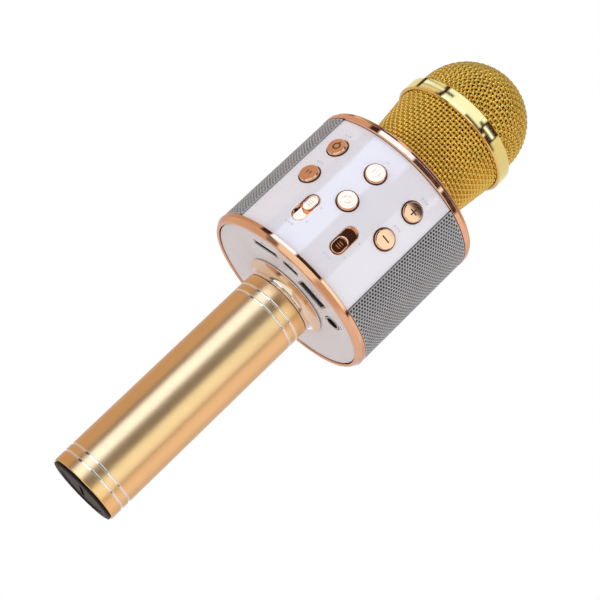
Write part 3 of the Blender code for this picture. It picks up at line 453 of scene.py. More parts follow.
def fit(piece, body, finish_slot, *nodes):
    """The piece rides on its body and stands for CAD nodes; its finish slot is not used."""
    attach(piece, body)
    if nodes:
        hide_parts(*nodes)
    return piece


tube_low, tube_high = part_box("handle_tube")
tube_r = tube_high[0]
groove_heights = [tube_high[2] - groove_from_end - groove_pitch * i for i in (0, 1)]
groove_heights += [tube_low[2] + groove_from_end + groove_pitch * i for i in (1, 0)]
profile = [(tube_r - tube_wall, tube_high[2], 0.2 * MM), (tube_r, tube_high[2], tube_edge)]
for height in groove_heights:
    profile += [
        (tube_r, height + groove_width / 2.0), (tube_r - groove_depth, height + 0.12 * MM),
        (tube_r - groove_depth, height - 0.12 * MM), (tube_r, height - groove_width / 2.0),
    ]
profile += [(tube_r, tube_low[2], tube_edge), (tube_r - tube_wall, tube_low[2], 0.2 * MM)]
satin_gold = finish(
    "satin_gold", satin_gold_colour, 0.30, 1.0, grain=(0.16, 0.006), tone=0.05, smears=0.35, scratches=0.2,
    dull=0.06, worn=(0.35, (0.97, 0.82, 0.60)))
bright_cut = finish(
    "bright_cut", bare_metal_colour, 0.12, 1.0, grain=(0.1, 0.002), tone=0.04, smears=0.1, scratches=0.1)
tube = add_object("handle_tube_satin", lathe("handle_tube_satin", rounded(profile), 192), satin_gold, bright_cut)
for face in tube.data.polygons:
    distance = math.hypot(face.center.x, face.center.y)
    near = min(abs(face.center.z - height) for height in groove_heights)
    if distance > tube_r - groove_depth - 0.05 * MM and near < groove_width / 2.0:
        face.material_index = 1
fit(tube, "housing", "satin_gold", "handle_tube")

# ------------------------------------------------------------------------------------------
# End cap. A black moulded cap that screws into the tube over the battery: a flat foot with a
# coin slot, a moulded ring, and a threaded spigot with a rubber seal in its groove.
# ------------------------------------------------------------------------------------------
black_colour = (0.010, 0.009, 0.009)
thread_pitch = 1.5 * MM
thread_proud = 0.14 * MM
coin_slot = (13.0 * MM, 1.8 * MM, 1.1 * MM)   # length, width, depth
foot_ring_r = 11.2 * MM        # the cap stands on the ring outside this radius
foot_dish = 0.35 * MM


def settle(piece):
    """Apply the piece's modifiers to its mesh."""
    bpy.context.view_layer.update()
    solid = bpy.data.meshes.new_from_object(piece.evaluated_get(bpy.context.evaluated_depsgraph_get()))
    piece.modifiers.clear()
    old = piece.data
    piece.data = solid
    bpy.data.meshes.remove(old)
    return piece


def carve(piece, *tools):
    """Cut each tool's mesh out of the piece; the cut faces take the tool's material index."""
    for mesh in tools:
        tool = add_object("tool", mesh)
        cut = piece.modifiers.new("cut", "BOOLEAN")
        cut.operation = "DIFFERENCE"
        cut.solver = "EXACT"
        cut.object = tool
        settle(piece)
        bpy.data.objects.remove(tool, do_unlink=True)
    return piece


def marked(mesh, index):
    """Give all the mesh's faces a material index."""
    for face in mesh.polygons:
        face.material_index = index
    return mesh


def bar(length, width, low, high, corner, steps=6, index=0):
    """A bar's mesh: length along Y, width along X, corners rounded in plan."""
    outline = []
    for quarter, (sx, sy) in enumerate(((1, 1), (-1, 1), (-1, -1), (1, -1))):
        middle = (sx * (width / 2.0 - corner), sy * (length / 2.0 - corner))
        for k in range(steps + 1):
            a = math.radians(90.0 * (quarter + k / steps))
            outline.append((middle[0] + corner * math.cos(a), middle[1] + corner * math.sin(a)))
    count = len(outline)
    verts = [(x, y, low) for x, y in outline] + [(x, y, high) for x, y in outline]
    faces = [tuple(range(count))[::-1], tuple(range(count, 2 * count))]
    faces += [(k, (k + 1) % count, count + (k + 1) % count, count + k) for k in range(count)]
    mesh = bpy.data.meshes.new("bar")
    mesh.from_pydata(verts, [], faces)
    work = bmesh.new()
    work.from_mesh(mesh)
    bmesh.ops.remove_doubles(work, verts=work.verts, dist=1e-7)
    work.to_mesh(mesh)
    work.free()
    return marked(mesh, index)


def bore_of(name):
    """The radius of the hole through a CAD node."""
    return min(math.hypot(v.co.x, v.co.y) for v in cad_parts[name].data.vertices)


def threaded(r, top, bottom):
    """The profile of the thread on a radius, from its top down to a lower height."""
    points = []
    while top > bottom:
        points += [
            (r, top), (r + thread_proud, top - 0.25 * MM), (r + thread_proud, top - 0.45 * MM), (r, top - 0.7 * MM)]
        top -= thread_pitch
    return points


cap_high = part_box("end_cap")[1]
seal_low, seal_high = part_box("cap_seal")
flange_r = cap_high[0]
spigot_r = seal_high[0]
flange_top = tube_low[2] - 0.3 * MM
groove_r = bore_of("cap_seal") - 0.3 * MM
profile = [
    (0.0, seal_high[2] - 0.6 * MM), (spigot_r - 4.0 * MM, seal_high[2] - 0.6 * MM, 0.5 * MM),
    (spigot_r - 4.0 * MM, cap_high[2], 0.3 * MM), (spigot_r - 0.5 * MM, cap_high[2]),
    (spigot_r, cap_high[2] - 0.5 * MM), *threaded(spigot_r, cap_high[2] - 1.0 * MM, seal_high[2] + 1.8 * MM),
    (spigot_r, seal_high[2] + 0.3 * MM), (groove_r, seal_high[2] + 0.3 * MM), (groove_r, seal_low[2] - 0.3 * MM),
    (spigot_r, seal_low[2] - 0.3 * MM), (spigot_r, flange_top), (flange_r, flange_top, 0.15 * MM),
    (flange_r, 0.25 * MM, 0.2 * MM), (flange_r - 0.9 * MM, 0.0, 0.3 * MM), (foot_ring_r, 0.0, 0.1 * MM),
    (foot_ring_r - 0.3 * MM, foot_dish, 0.1 * MM), (0.0, foot_dish),
]
black_plastic = finish(
    "black_plastic", black_colour, 0.42, grain=(0.22, 0.012), tone=0.25, smears=0.5, scratches=0.6, dull=0.15,
    worn=(0.4, (0.07, 0.066, 0.063)), Specular_IOR_Level=0.07)
cap = add_object(
    "end_cap_moulded", lathe("end_cap_moulded", rounded(profile, closed=False), 128, False), black_plastic)
carve(cap, bar(coin_slot[0], coin_slot[1], -1.0 * MM, foot_dish + coin_slot[2], coin_slot[1] / 2.1))
shade(cap.data)
fit(cap, "end_cap", "black_plastic", "end_cap")

# ------------------------------------------------------------------------------------------
# Neck. A turned and polished brass part, plated rose gold: a short step over the tube's end,
# a concave flare up to the body, and a spigot in the tube. Three screws hold it from above.
# Its rose gold is drawn paler than the rings', as painted light.
# ------------------------------------------------------------------------------------------
rose_gold_colour = (0.93, 0.57, 0.38)
# painted light: the neck's rose gold drawn paler, so that its reflections of itself stay peach rather than deep orange
neck_gold_lightened_colour = (0.95, 0.79, 0.64)
neck_step = 1.0 * MM
neck_waist_inset = 0.9 * MM
flare_steps = 14


def polished(name, colour, roughness, tone=0.03, dull=0.10):
    """Plated and polished metal: almost no grain, a few smears and hairlines."""
    return finish(
        name, colour, roughness, 1.0, grain=(2.5, 0.0015), tone=tone, smears=0.25, scratches=0.25, dull=dull)


def turned(name, profile, mat, finish_slot, node_name, body="housing", turns=192, steps=4):
    """A piece turned about Z from a closed profile, in place on its body for its CAD node."""
    piece = add_object(name, lathe(name, rounded(profile, steps=steps), turns), mat)
    return fit(piece, body, finish_slot, node_name)


rose_gold = polished("rose_gold", rose_gold_colour, 0.055)
# the neck's paler copy of the rose gold: painted light
neck_gold_lightened = polished("neck_gold_lightened", neck_gold_lightened_colour, 0.07, tone=0.04)
neck_low, neck_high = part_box("neck_flange")
flange_r = neck_high[0]
neck_bore = bore_of("neck_flange")
step_low = tube_high[2] + 0.3 * MM
waist = tube_r - neck_waist_inset
flare_low, flare_high = step_low + neck_step + 0.4 * MM, neck_high[2] - 0.6 * MM
profile = [(neck_bore, neck_high[2], 0.2 * MM), (flange_r, neck_high[2], 0.2 * MM), (flange_r, flare_high)]
for k in range(1, flare_steps + 1):
    a = math.radians(90.0 * k / flare_steps)
    profile.append(
        (waist + (flange_r - waist) * (1.0 - math.sin(a)), flare_low + (flare_high - flare_low) * math.cos(a)))
profile += [
    (waist, step_low + neck_step, 0.1 * MM), (tube_r - 0.1 * MM, step_low + neck_step, 0.25 * MM),
    (tube_r - 0.1 * MM, step_low, 0.15 * MM), (tube_r - tube_wall - 0.3 * MM, step_low),
    (tube_r - tube_wall - 0.3 * MM, neck_low[2], 0.3 * MM), (neck_bore, neck_low[2], 0.3 * MM),
]
turned("neck_polished", profile, neck_gold_lightened, "rose_gold", "neck_flange")

# ------------------------------------------------------------------------------------------
# Bottom ring. A polished rose-gold hoop round the foot of the body, pressed from brass: an
# upright outer face, a wide rolled lower edge, and a thin lip that frames the bottom plate.
# ------------------------------------------------------------------------------------------
ring_proud = 0.15 * MM          # the rings stand out of the grille by a little more than this

ring_low, ring_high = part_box("bottom_ring")
body_r = ring_high[0]
plate_low, plate_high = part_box("bottom_plate")
plate_r = plate_high[0]
bore = plate_r + 0.3 * MM
profile = [
    (bore, ring_high[2]), (body_r + ring_proud, ring_high[2], 0.2 * MM),
    (body_r + ring_proud, ring_low[2] + 1.9 * MM, 1.4 * MM), (body_r - 1.15 * MM, ring_low[2] + 0.15 * MM, 0.5 * MM),
    (body_r - 1.6 * MM, ring_low[2] - 0.1 * MM, 0.15 * MM), (bore, ring_low[2] - 0.1 * MM, 0.18 * MM),
]
turned("bottom_ring_polished", profile, rose_gold, "rose_gold", "bottom_ring", turns=256, steps=8)

# ------------------------------------------------------------------------------------------
# Bottom plate. A semi-gloss white moulded disc screwed to the neck, with openings for the
# sockets and small moulded marks beside them.
# ------------------------------------------------------------------------------------------
# the plate's white, darkened to about 0.72 of the panel's pearl white: painted shade for its downward face
plate_white_shaded_colour = (0.575, 0.55, 0.60)
mark_grey = (0.26, 0.26, 0.30)
port_play = 0.25 * MM
card_size = (13.0 * MM, 2.6 * MM)
charge_size = (7.4 * MM, 2.9 * MM)
usb_size = (13.6 * MM, 5.9 * MM)
jack_r = 3.6 * MM
screw_hole_r = 1.35 * MM
# turn of each socket's long side round the microphone's axis
port_turns = {"usb_socket": 22.0, "charge_socket": 2.5, "card_socket": -22.0, "audio_jack": 62.0}


def middle_of(name, height):
    """The move to the middle of a CAD node in plan, at a height."""
    low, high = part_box(name)
    return Matrix.Translation(((low[0] + high[0]) / 2.0, (low[1] + high[1]) / 2.0, height))


def port_place(name, height):
    """The socket's frame: X along its long side, Y away from the handle, at a height."""
    return middle_of(name, height) @ Matrix.Rotation(math.radians(port_turns[name]), 4, "Z")


def placed(mesh, matrix):
    mesh.transform(matrix)
    return mesh


def drill(radius, reach, turns):
    """A cutting tool: a cylinder along Z."""
    return lathe("drill", [(0.0, reach), (radius, reach), (radius, -reach), (0.0, -reach)], turns, False)


def merged(name, meshes):
    """One mesh from several."""
    work = bmesh.new()
    for mesh in meshes:
        work.from_mesh(mesh)
    whole = bpy.data.meshes.new(name)
    work.to_mesh(whole)
    work.free()
    return whole


# the plate's finish, in the darkened white that paints the shade on its downward face
plate_white = finish(
    "plate_white", plate_white_shaded_colour, 0.16, grain=(0.5, 0.003), tone=0.015, smears=0.35, scratches=0.25, dull=0.12,
    worn=(0.2, (0.8, 0.8, 0.8)), Coat_Weight=0.3, Coat_Roughness=0.08)
printed_grey = finish("printed_grey", mark_grey, 0.5, grain=(0.12, 0.004), tone=0.2, smears=0.1, scratches=0.2)
plate_bore = bore_of("bottom_plate")
profile = [
    (plate_bore, plate_high[2]), (plate_r, plate_high[2], 0.2 * MM), (plate_r, plate_low[2], 0.35 * MM),
    (plate_bore, plate_low[2]),
]
plate = add_object("bottom_plate_white", lathe("bottom_plate_white", rounded(profile), 160), plate_white)
cutters = []
for name, size in (("usb_socket", usb_size), ("charge_socket", charge_size), ("card_socket", card_size)):
    hole = bar(size[1] + 2.0 * port_play, size[0] + 2.0 * port_play, -5.0 * MM, 5.0 * MM, 0.5 * MM)
    cutters.append(placed(hole, port_place(name, plate_low[2])))
cutters.append(placed(drill(jack_r + port_play, 5.0 * MM, 48), port_place("audio_jack", plate_low[2])))
for name in ("neck_screw_1", "neck_screw_2", "neck_screw_3"):
    cutters.append(placed(drill(screw_hole_r, 3.0 * MM, 24), middle_of(name, plate_low[2])))
carve(plate, *cutters)
shade(plate.data)
fit(plate, "housing", "plate_white", "bottom_plate")

# moulded marks: a short bar or dot beside each socket, 0.08 mm proud
marks = []
for name, across, shapes in (
    ("usb_socket", 4.6 * MM, ((-1.6, 1.9), (0.9, 0.7), (2.4, 0.7))),
    ("charge_socket", 3.0 * MM, ((-0.9, 0.6), (0.4, 1.5))),
    ("card_socket", 2.9 * MM, ((-1.2, 1.7), (0.8, 0.6))),
    ("audio_jack", 5.0 * MM, ((-0.6, 0.7), (0.7, 0.7))),
):
    for shift, length in shapes:
        mark = bar(0.5 * MM, length * MM, -0.08 * MM, 0.05 * MM, 0.2 * MM, 3)
        there = port_place(name, plate_low[2]) @ Matrix.Translation((shift * MM, -across, 0.0))
        marks.append(placed(mark, there))
mark_mesh = merged("bottom_marks", marks)
outward(mark_mesh)
fit(add_object("bottom_marks", mark_mesh, printed_grey), "housing", "grey_plastic")

# ------------------------------------------------------------------------------------------
# Sockets. Folded bright steel shells with black tongues and gilt contacts: a USB-A mouth, a
# micro-USB mouth, a slot for a memory card, and a 3.5 mm jack in a black barrel with a nut.
# ------------------------------------------------------------------------------------------
steel_colour = (0.62, 0.62, 0.64)
gilt_colour = (0.90, 0.68, 0.30)

steel = finish("steel", steel_colour, 0.22, 1.0, grain=(0.4, 0.004), tone=0.08, smears=0.4, scratches=0.6, dull=0.15)
gilt = finish("gilt", gilt_colour, 0.2, 1.0, grain=(0.2, 0.002), tone=0.05)

# each socket: its mouth, wall, corner and depth; its tongue's width, thickness, offset and contacts
for name, size, wall, corner, depth, tongue in (
    ("usb_socket", usb_size, 0.5 * MM, 0.7 * MM, 9.0 * MM, (11.2 * MM, 1.7 * MM, 0.75 * MM, 4)),
    ("charge_socket", charge_size, 0.4 * MM, 0.9 * MM, 4.2 * MM, (3.6 * MM, 0.6 * MM, 0.1 * MM, 5)),
    ("card_socket", card_size, 0.45 * MM, 0.35 * MM, 9.0 * MM, (11.0 * MM, 0.35 * MM, 0.45 * MM, 8)),
):
    low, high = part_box(name)
    here = port_place(name, low[2])
    total = high[2] - low[2]
    floor = min(depth, total - 1.0 * MM)
    shell = add_object(name + "_shell", bar(size[1], size[0], 0.0, total, corner), steel, black_plastic)
    inner_corner = max(corner - wall, 0.12 * MM)
    carve(shell, bar(size[1] - 2.0 * wall, size[0] - 2.0 * wall, -1.0 * MM, floor, inner_corner, index=1))
    for face in shell.data.polygons:
        if face.material_index == 1 and face.center.z < floor - 0.05 * MM:
            face.material_index = 0
    shade(shell.data)
    placed(shell.data, here)
    fit(shell, "housing", "steel", name)
    width, thick, offset, contacts = tongue
    blade = bar(thick, width, 0.9 * MM, floor + 0.3 * MM, 0.12 * MM, 3)
    placed(blade, here @ Matrix.Translation((0.0, offset, 0.0)))
    fit(add_object(name + "_tongue", blade, black_plastic), "housing", "black_plastic")
    strips = []
    for k in range(contacts):
        across = width * ((k + 0.5) / contacts - 0.5)
        strip = bar(0.12 * MM, 0.45 * width / contacts, 1.2 * MM, floor - 0.2 * MM, 0.02 * MM, 1)
        strips.append(placed(strip, here @ Matrix.Translation((across, offset - thick / 2.0 - 0.05 * MM, 0.0))))
    fit(add_object(name + "_contacts", merged(name + "_contacts", strips), gilt), "housing", "steel")

low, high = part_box("audio_jack")
here = port_place("audio_jack", low[2])
depth = high[2] - low[2]
barrel = lathe("jack_barrel", rounded([
    (0.0, depth), (jack_r, depth, 0.2 * MM), (jack_r, 0.0, 0.3 * MM), (2.6 * MM, 0.0, 0.1 * MM), (2.6 * MM, 0.4 * MM),
    (1.8 * MM, 0.6 * MM, 0.1 * MM), (1.8 * MM, depth - 1.5 * MM), (0.0, depth - 1.5 * MM)], closed=False), 48, False)
fit(add_object("jack_barrel", placed(barrel, here), black_plastic), "housing", "black_plastic", "audio_jack")
nut = lathe("jack_ring", rounded([
    (2.7 * MM, 0.05 * MM, 0.08 * MM), (2.7 * MM, -0.35 * MM, 0.1 * MM), (3.35 * MM, -0.35 * MM, 0.15 * MM),
    (3.35 * MM, 0.05 * MM, 0.05 * MM)]), 48)
fit(add_object("jack_ring", placed(nut, here), steel), "housing", "steel")

# ------------------------------------------------------------------------------------------
# Speaker grille. One sheet of steel punched with staggered round holes, rolled round the body
# from one edge of the panel to the other, and painted satin silver over a black liner.
# ------------------------------------------------------------------------------------------
grille_colour = (0.45, 0.445, 0.46)
grille_wall = 0.8 * MM
hole_columns = 1.3 * MM
hole_rows = 1.5 * MM
hole_r = 0.63 * MM
plain_edge = 0.12 * MM


def quad_object(name, verts, quads, *mats):
    mesh = bpy.data.meshes.new(name)
    mesh.from_pydata(verts, [], quads)
    return add_object(name, mesh, *mats)


grille_low, grille_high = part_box("speaker_grille")
places = np.array([v.co[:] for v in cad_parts["speaker_grille"].data.vertices])
grille_r = body_r - 0.05 * MM
half_sweep = np.abs(np.arctan2(places[:, 0], places[:, 1])).max()
half_length = half_sweep * grille_r
# the nearest whole numbers of columns and rows, then the pitches that fill the sheet with them
across = 2.0 * (half_length - plain_edge - hole_r)
upright = grille_high[2] - grille_low[2] - 2.0 * (plain_edge + hole_r)
columns = 2 * round(across / hole_columns / 2.0) + 1
rows = round(upright / hole_rows + 0.5)
hole_columns = across / (columns - 1)
hole_rows = upright / (rows - 0.5)
mid_z = (grille_high[2] + grille_low[2]) / 2.0
centres = []
for c in range(columns):
    s = (c - (columns - 1) / 2.0) * hole_columns
    shift = hole_rows * (0.25 if c % 2 else -0.25)
    for r in range(rows):
        centres.append((s, mid_z + (r - (rows - 1) / 2.0) * hole_rows + shift))
centres = np.array(centres)
turns = np.radians(60.0 * np.arange(6))
# the cell round each hole: a hexagon, a little off regular where the pitches ask for it
cell = np.array([
    (2.0 / 3.0 * hole_columns, 0.0), (1.0 / 3.0 * hole_columns, hole_rows / 2.0),
    (-1.0 / 3.0 * hole_columns, hole_rows / 2.0), (-2.0 / 3.0 * hole_columns, 0.0),
    (-1.0 / 3.0 * hole_columns, -hole_rows / 2.0), (1.0 / 3.0 * hole_columns, -hole_rows / 2.0),
])
corners = centres[:, None, :] + cell[None, :, :]
holes = centres[:, None, :] + hole_r * np.stack((np.cos(turns), np.sin(turns)), axis=1)[None, :, :]
first_s, last_s = centres[:, 0].min(), centres[:, 0].max()
corners[..., 0] = np.where(corners[..., 0] < first_s - 0.2 * hole_columns, -half_length, corners[..., 0])
corners[..., 0] = np.where(corners[..., 0] > last_s + 0.2 * hole_columns, half_length, corners[..., 0])
low_z, high_z = centres[:, 1].min(), centres[:, 1].max()
corners[..., 1] = np.where(corners[..., 1] < low_z + 0.01 * MM, grille_low[2], corners[..., 1])
corners[..., 1] = np.where(corners[..., 1] > high_z - 0.01 * MM, grille_high[2], corners[..., 1])
flat = np.round(corners.reshape(-1, 2) / (0.001 * MM)).astype(np.int64)
shared, index = np.unique(flat, axis=0, return_inverse=True)
index = index.reshape(-1, 6)
shared = shared * (0.001 * MM)
sheet = np.vstack((shared, holes.reshape(-1, 2)))
hole_index = len(shared) + np.arange(holes.shape[0] * 6).reshape(-1, 6)
count = len(sheet)
after = np.roll(index, -1, axis=1)
hole_after = np.roll(hole_index, -1, axis=1)
face_front = np.stack((index, after, hole_after, hole_index), axis=2).reshape(-1, 4)
wall_in = np.stack((hole_index, hole_after, hole_after + count, hole_index + count), axis=2).reshape(-1, 4)
edges = np.stack((index, after), axis=2).reshape(-1, 2)
keys = np.sort(edges, axis=1)
_, first_use, uses = np.unique(keys, axis=0, return_index=True, return_counts=True)
rim = edges[first_use[uses == 1]]
wall_rim = np.stack((rim[:, 0], rim[:, 0] + count, rim[:, 1] + count, rim[:, 1]), axis=1)
quads = np.vstack((face_front, face_front[:, ::-1] + count, wall_in, wall_rim))
verts = []
for radius in (grille_r, grille_r - grille_wall):
    a = sheet[:, 0] / grille_r
    verts.append(np.stack((radius * np.sin(a), radius * np.cos(a), sheet[:, 1]), axis=1))
silver_paint = finish(
    "grille_silver", grille_colour, 0.34, 0.35, grain=(0.12, 0.006), tone=0.06, smears=0.4, scratches=0.2, dull=0.12)
grille = quad_object("grille_punched", np.vstack(verts), quads, silver_paint)
outward(grille.data)
shade(grille.data, 28.0)
fit(grille, "housing", "grille_silver", "speaker_grille")

# ------------------------------------------------------------------------------------------
# Control panel. A glossy pearl-white moulding with a faint lavender tint, a little flatter than
# the rings. Polished trim lines its two slots, and its marks are printed in pale grey.
# ------------------------------------------------------------------------------------------
pearl_colour = (0.80, 0.77, 0.825)
print_colour = (0.63, 0.62, 0.69)
panel_cell = 1.15 * MM
panel_wall = 1.2 * MM
panel_edge = 0.3 * MM
key_columns = {"left": math.radians(-28.1), "middle": 0.0, "right": math.radians(28.1)}
slot_column = math.radians(13.8)
slot_size = (13.8 * MM, 6.4 * MM)
key_play = 0.48 * MM
key_inset = 0.38 * MM           # the cap is this much smaller than its guide
trim_width = 0.42 * MM
key_rows = {}
for row, name in (("upper", "key_middle_upper"), ("lower", "key_middle_lower")):
    low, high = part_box(name)
    key_rows[row] = (low[2] + high[2]) / 2.0
knob_box = {side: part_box("slide_knob_" + side) for side in ("left", "right")}
slot_z = sum(low[2] + high[2] for low, high in knob_box.values()) / 4.0
places = np.array([v.co[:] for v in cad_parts["front_panel"].data.vertices])
panel_half = places[:, 0].max()
edge_y = places[places[:, 0].argmax(), 1]
panel_front = places[:, 1].min()
crown = edge_y - panel_front
panel_r = (panel_half ** 2 + crown ** 2) / (2.0 * crown)
panel_centre = panel_front + panel_r
panel_arc = math.asin(panel_half / panel_r)
panel_low, panel_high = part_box("front_panel")


def on_panel(arc, height, out=0.0):
    """A frame on the panel's outer face: Z outwards, Y up."""
    radius = panel_r + out
    place = (radius * math.sin(arc), panel_centre - radius * math.cos(arc), height)
    return Matrix.Translation(place) @ Matrix.Rotation(arc, 4, "Z") @ Matrix.Rotation(math.radians(90.0), 4, "X")


def soften(piece, width, segments, angle=30.0):
    """Round the piece's edges that turn more than angle."""
    edge = piece.modifiers.new("edge", "BEVEL")
    edge.width, edge.segments = width, segments
    edge.limit_method = "ANGLE"
    edge.angle_limit = math.radians(angle)
    return settle(piece)


def bend(mesh):
    """Bend a flat mesh round the panel: X becomes arc length, Y height, Z outwards."""
    flat = np.empty(len(mesh.vertices) * 3)
    mesh.vertices.foreach_get("co", flat)
    flat = flat.reshape(-1, 3)
    arc = flat[:, 0] / panel_r
    radius = panel_r + flat[:, 2]
    bent = np.stack((radius * np.sin(arc), panel_centre - radius * np.cos(arc), flat[:, 1]), axis=1)
    mesh.vertices.foreach_set("co", bent.ravel())
    mesh.update()
    return mesh


pearl_white = finish(
    "pearl_white", pearl_colour, 0.09, grain=(0.8, 0.0015), tone=0.012, smears=0.25, scratches=0.15, dull=0.08,
    Coat_Weight=1.0, Coat_Roughness=0.03, Specular_IOR_Level=0.5)
width, height = 2.0 * panel_arc * panel_r, panel_high[2] - panel_low[2] + 0.3 * MM
across, up = round(width / panel_cell), round(height / panel_cell)
flat = bmesh.new()
bmesh.ops.create_grid(flat, x_segments=across, y_segments=up, size=0.5)
bmesh.ops.scale(flat, vec=(width, height, 1.0), verts=flat.verts)
bmesh.ops.translate(flat, vec=(0.0, (panel_low[2] + panel_high[2]) / 2.0, 0.0), verts=flat.verts)
skin = bmesh.ops.extrude_face_region(flat, geom=flat.faces[:])
for part in skin["geom"]:
    if isinstance(part, bmesh.types.BMVert):
        part.co.z -= panel_wall
bmesh.ops.recalc_face_normals(flat, faces=flat.faces)
panel_mesh = bpy.data.meshes.new("front_panel_pearl")
flat.to_mesh(panel_mesh)
flat.free()
panel = add_object("front_panel_pearl", panel_mesh, pearl_white)
key_low, key_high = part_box("key_middle_upper")
key_r = (key_high[0] - key_low[0]) / 2.0 - 0.8 * MM - key_inset
holes = []
for arc in key_columns.values():
    for z in key_rows.values():
        holes.append(placed(drill(key_r + key_play, 4.0 * MM, 64), Matrix.Translation((arc * panel_r, z, 0.0))))
for sign in (-1, 1):
    hole = bar(slot_size[0], slot_size[1], -4.0 * MM, 4.0 * MM, slot_size[1] / 2.0, 16)
    holes.append(placed(hole, Matrix.Translation((sign * slot_column * panel_r, slot_z, 0.0))))
carve(panel, *holes)
soften(panel, panel_edge, 3, 50.0)
bend(panel.data)
shade(panel.data, 20.0)
fit(panel, "housing", "panel_white", "front_panel")


def ring_bar(length, width, wall, low, high, steps=16):
    """A round-ended hoop: a closed wall round a slot, with small rounded edges."""
    edge = 0.12 * MM
    rows = []
    for inset, z in (
        (0.0, low), (0.0, high - edge), (edge, high), (wall - edge, high), (wall, high - edge), (wall, low),
    ):
        r = width / 2.0 - inset
        row = []
        for sign in (1, -1):
            for k in range(steps + 1):
                a = math.radians(180.0 * k / steps) + (0.0 if sign > 0 else math.pi)
                row.append((r * math.cos(a), r * math.sin(a) + sign * (length - width) / 2.0, z))
        rows.append(row)
    count = len(rows[0])
    verts = [p for row in rows for p in row]
    quads = []
    for j in range(len(rows)):
        for k in range(count):
            a, b = j * count, ((j + 1) % len(rows)) * count
            quads.append((a + k, a + (k + 1) % count, b + (k + 1) % count, b + k))
    mesh = bpy.data.meshes.new("hoop")
    mesh.from_pydata(verts, [], quads)
    outward(mesh)
    return mesh


# polished trim in each slot
for side, sign in (("left", -1), ("right", 1)):
    hoop = ring_bar(slot_size[0] - 0.1 * MM, slot_size[1] - 0.1 * MM, trim_width - 0.1 * MM, -1.1 * MM, 0.08 * MM)
    hoop.transform(Matrix.Translation((sign * slot_column * panel_r, slot_z, 0.0)))
    shade(bend(hoop))
    fit(add_object("slot_trim_" + side, hoop, rose_gold), "housing", "rose_gold")

# printed marks: short bars and dots, above the keys and beside the slots
printed = []
for column, row in ((-1, 1), (-1, 0), (0, 1), (1, 1), (1, 0)):
    z = (key_rows["upper"] if row else key_rows["lower"]) + 6.9 * MM
    shift = column * key_columns["right"] * panel_r + 0.6 * MM * column
    pattern = ((-1.5, 1.1), (-0.1, 0.6), (1.1, 0.9)) if column else ((-0.4, 0.5), (0.5, 0.5))
    printed += [(shift + dx * MM, z, length * MM) for dx, length in pattern]
for sign in (-1, 1):
    shift = sign * slot_column * panel_r
    printed += [
        (shift + dx * MM, slot_z - 9.0 * MM, length * MM) for dx, length in ((-1.7, 1.0), (-0.3, 0.8), (1.2, 1.2))]
    printed += [(shift + 4.9 * MM, slot_z + dz * MM, 0.8 * MM) for dz in (-4.5, 3.6)]
mark_mesh = merged("panel_marks", [
    placed(bar(0.85 * MM, length, -0.02 * MM, 0.025 * MM, 0.2 * MM, 2), Matrix.Translation((x, z, 0.0)))
    for x, z, length in printed])
pale_print = finish("pale_print", print_colour, 0.45, grain=(0.1, 0.003), tone=0.1, smears=0.1, scratches=0.1)
fit(add_object("panel_marks", bend(mark_mesh), pale_print), "housing", "grey_plastic")

# ------------------------------------------------------------------------------------------
# Keys. Six round keys, moulded, polished and plated rose gold. Each has a chamfered top edge
# with an engraved mark, a wide foot behind the panel, and a dark liner round its hole, its
# near-black colour painted shade for the gap between key and panel.
# ------------------------------------------------------------------------------------------
key_proud = 1.3 * MM
key_chamfer = 0.45 * MM
key_crown = 0.02 * MM
key_foot_spread = 1.2 * MM
engraving = 0.22 * MM
enamel_colour = (0.05, 0.035, 0.03)
# painted shade: the near-black of the liner in the gap round each key
gap_shade_liner_colour = (0.10, 0.045, 0.025)
bezel_gap = 0.13 * MM
bezel_depth = 0.9 * MM
bezel_proud = 0.03 * MM

dark_enamel = finish("dark_enamel", enamel_colour, 0.35, grain=(0.1, 0.004), tone=0.2, smears=0.1, scratches=0.1)
gap_shade_liner = finish("gap_shade_liner", gap_shade_liner_colour, 0.25, 0.6, grain=(0.3, 0.003), tone=0.15, smears=0.2, scratches=0.2)


def cut_bar(x, y, length, width, turn=0.0, index=1):
    """An engraving tool: a bar lying across the key's top, its length along X when turn is 0."""
    tool = bar(width, length, key_proud - engraving, key_proud + MM, width * 0.45, 4, index)
    return placed(tool, Matrix.Translation((x, y, 0.0)) @ Matrix.Rotation(math.radians(turn), 4, "Z"))


def cut_ring(outer, inner, index=1):
    """An engraving tool: a ring."""
    low, high = key_proud - engraving, key_proud + MM
    return marked(lathe("tool", [(inner, high), (outer, high), (outer, low), (inner, low)], 40), index)


def cut_triangle(x, size, index=1):
    """An engraving tool: a triangle that points along X."""
    points = [(x + size * math.cos(a), size * math.sin(a)) for a in (0.0, math.radians(120.0), math.radians(240.0))]
    low, high = key_proud - engraving, key_proud + MM
    tool = bpy.data.meshes.new("tool")
    tool.from_pydata([(*p, low) for p in points] + [(*p, high) for p in points], [],
                     [(2, 1, 0), (3, 4, 5), (0, 1, 4, 3), (1, 2, 5, 4), (2, 0, 3, 5)])
    return marked(tool, index)


key_marks = {
    "plus": lambda: [cut_bar(0, 0, 3.4 * MM, 0.62 * MM), cut_bar(0, 0, 3.4 * MM, 0.62 * MM, 90.0)],
    "minus": lambda: [cut_bar(0, 0, 3.9 * MM, 0.62 * MM)],
    "left_upper": lambda: [cut_ring(1.75 * MM, 1.15 * MM), cut_bar(0.0, 2.2 * MM, 1.0 * MM, 0.5 * MM)],
    "left_lower": lambda: [cut_bar(x, 0, 2.6 * MM, 0.45 * MM, 90.0, 0) for x in (-0.8 * MM, 0.8 * MM)],
    "middle_upper": lambda: [cut_triangle(-0.6 * MM, 1.3 * MM, 0), cut_bar(1.6 * MM, 0, 2.2 * MM, 0.45 * MM, 90.0, 0)],
    "middle_lower": lambda: [cut_ring(1.7 * MM, 1.3 * MM, 0)],
}
key_spots = {
    "left_upper": ("left", "upper"), "left_lower": ("left", "lower"), "middle_upper": ("middle", "upper"),
    "middle_lower": ("middle", "lower"), "plus": ("right", "upper"), "minus": ("right", "lower"),
}
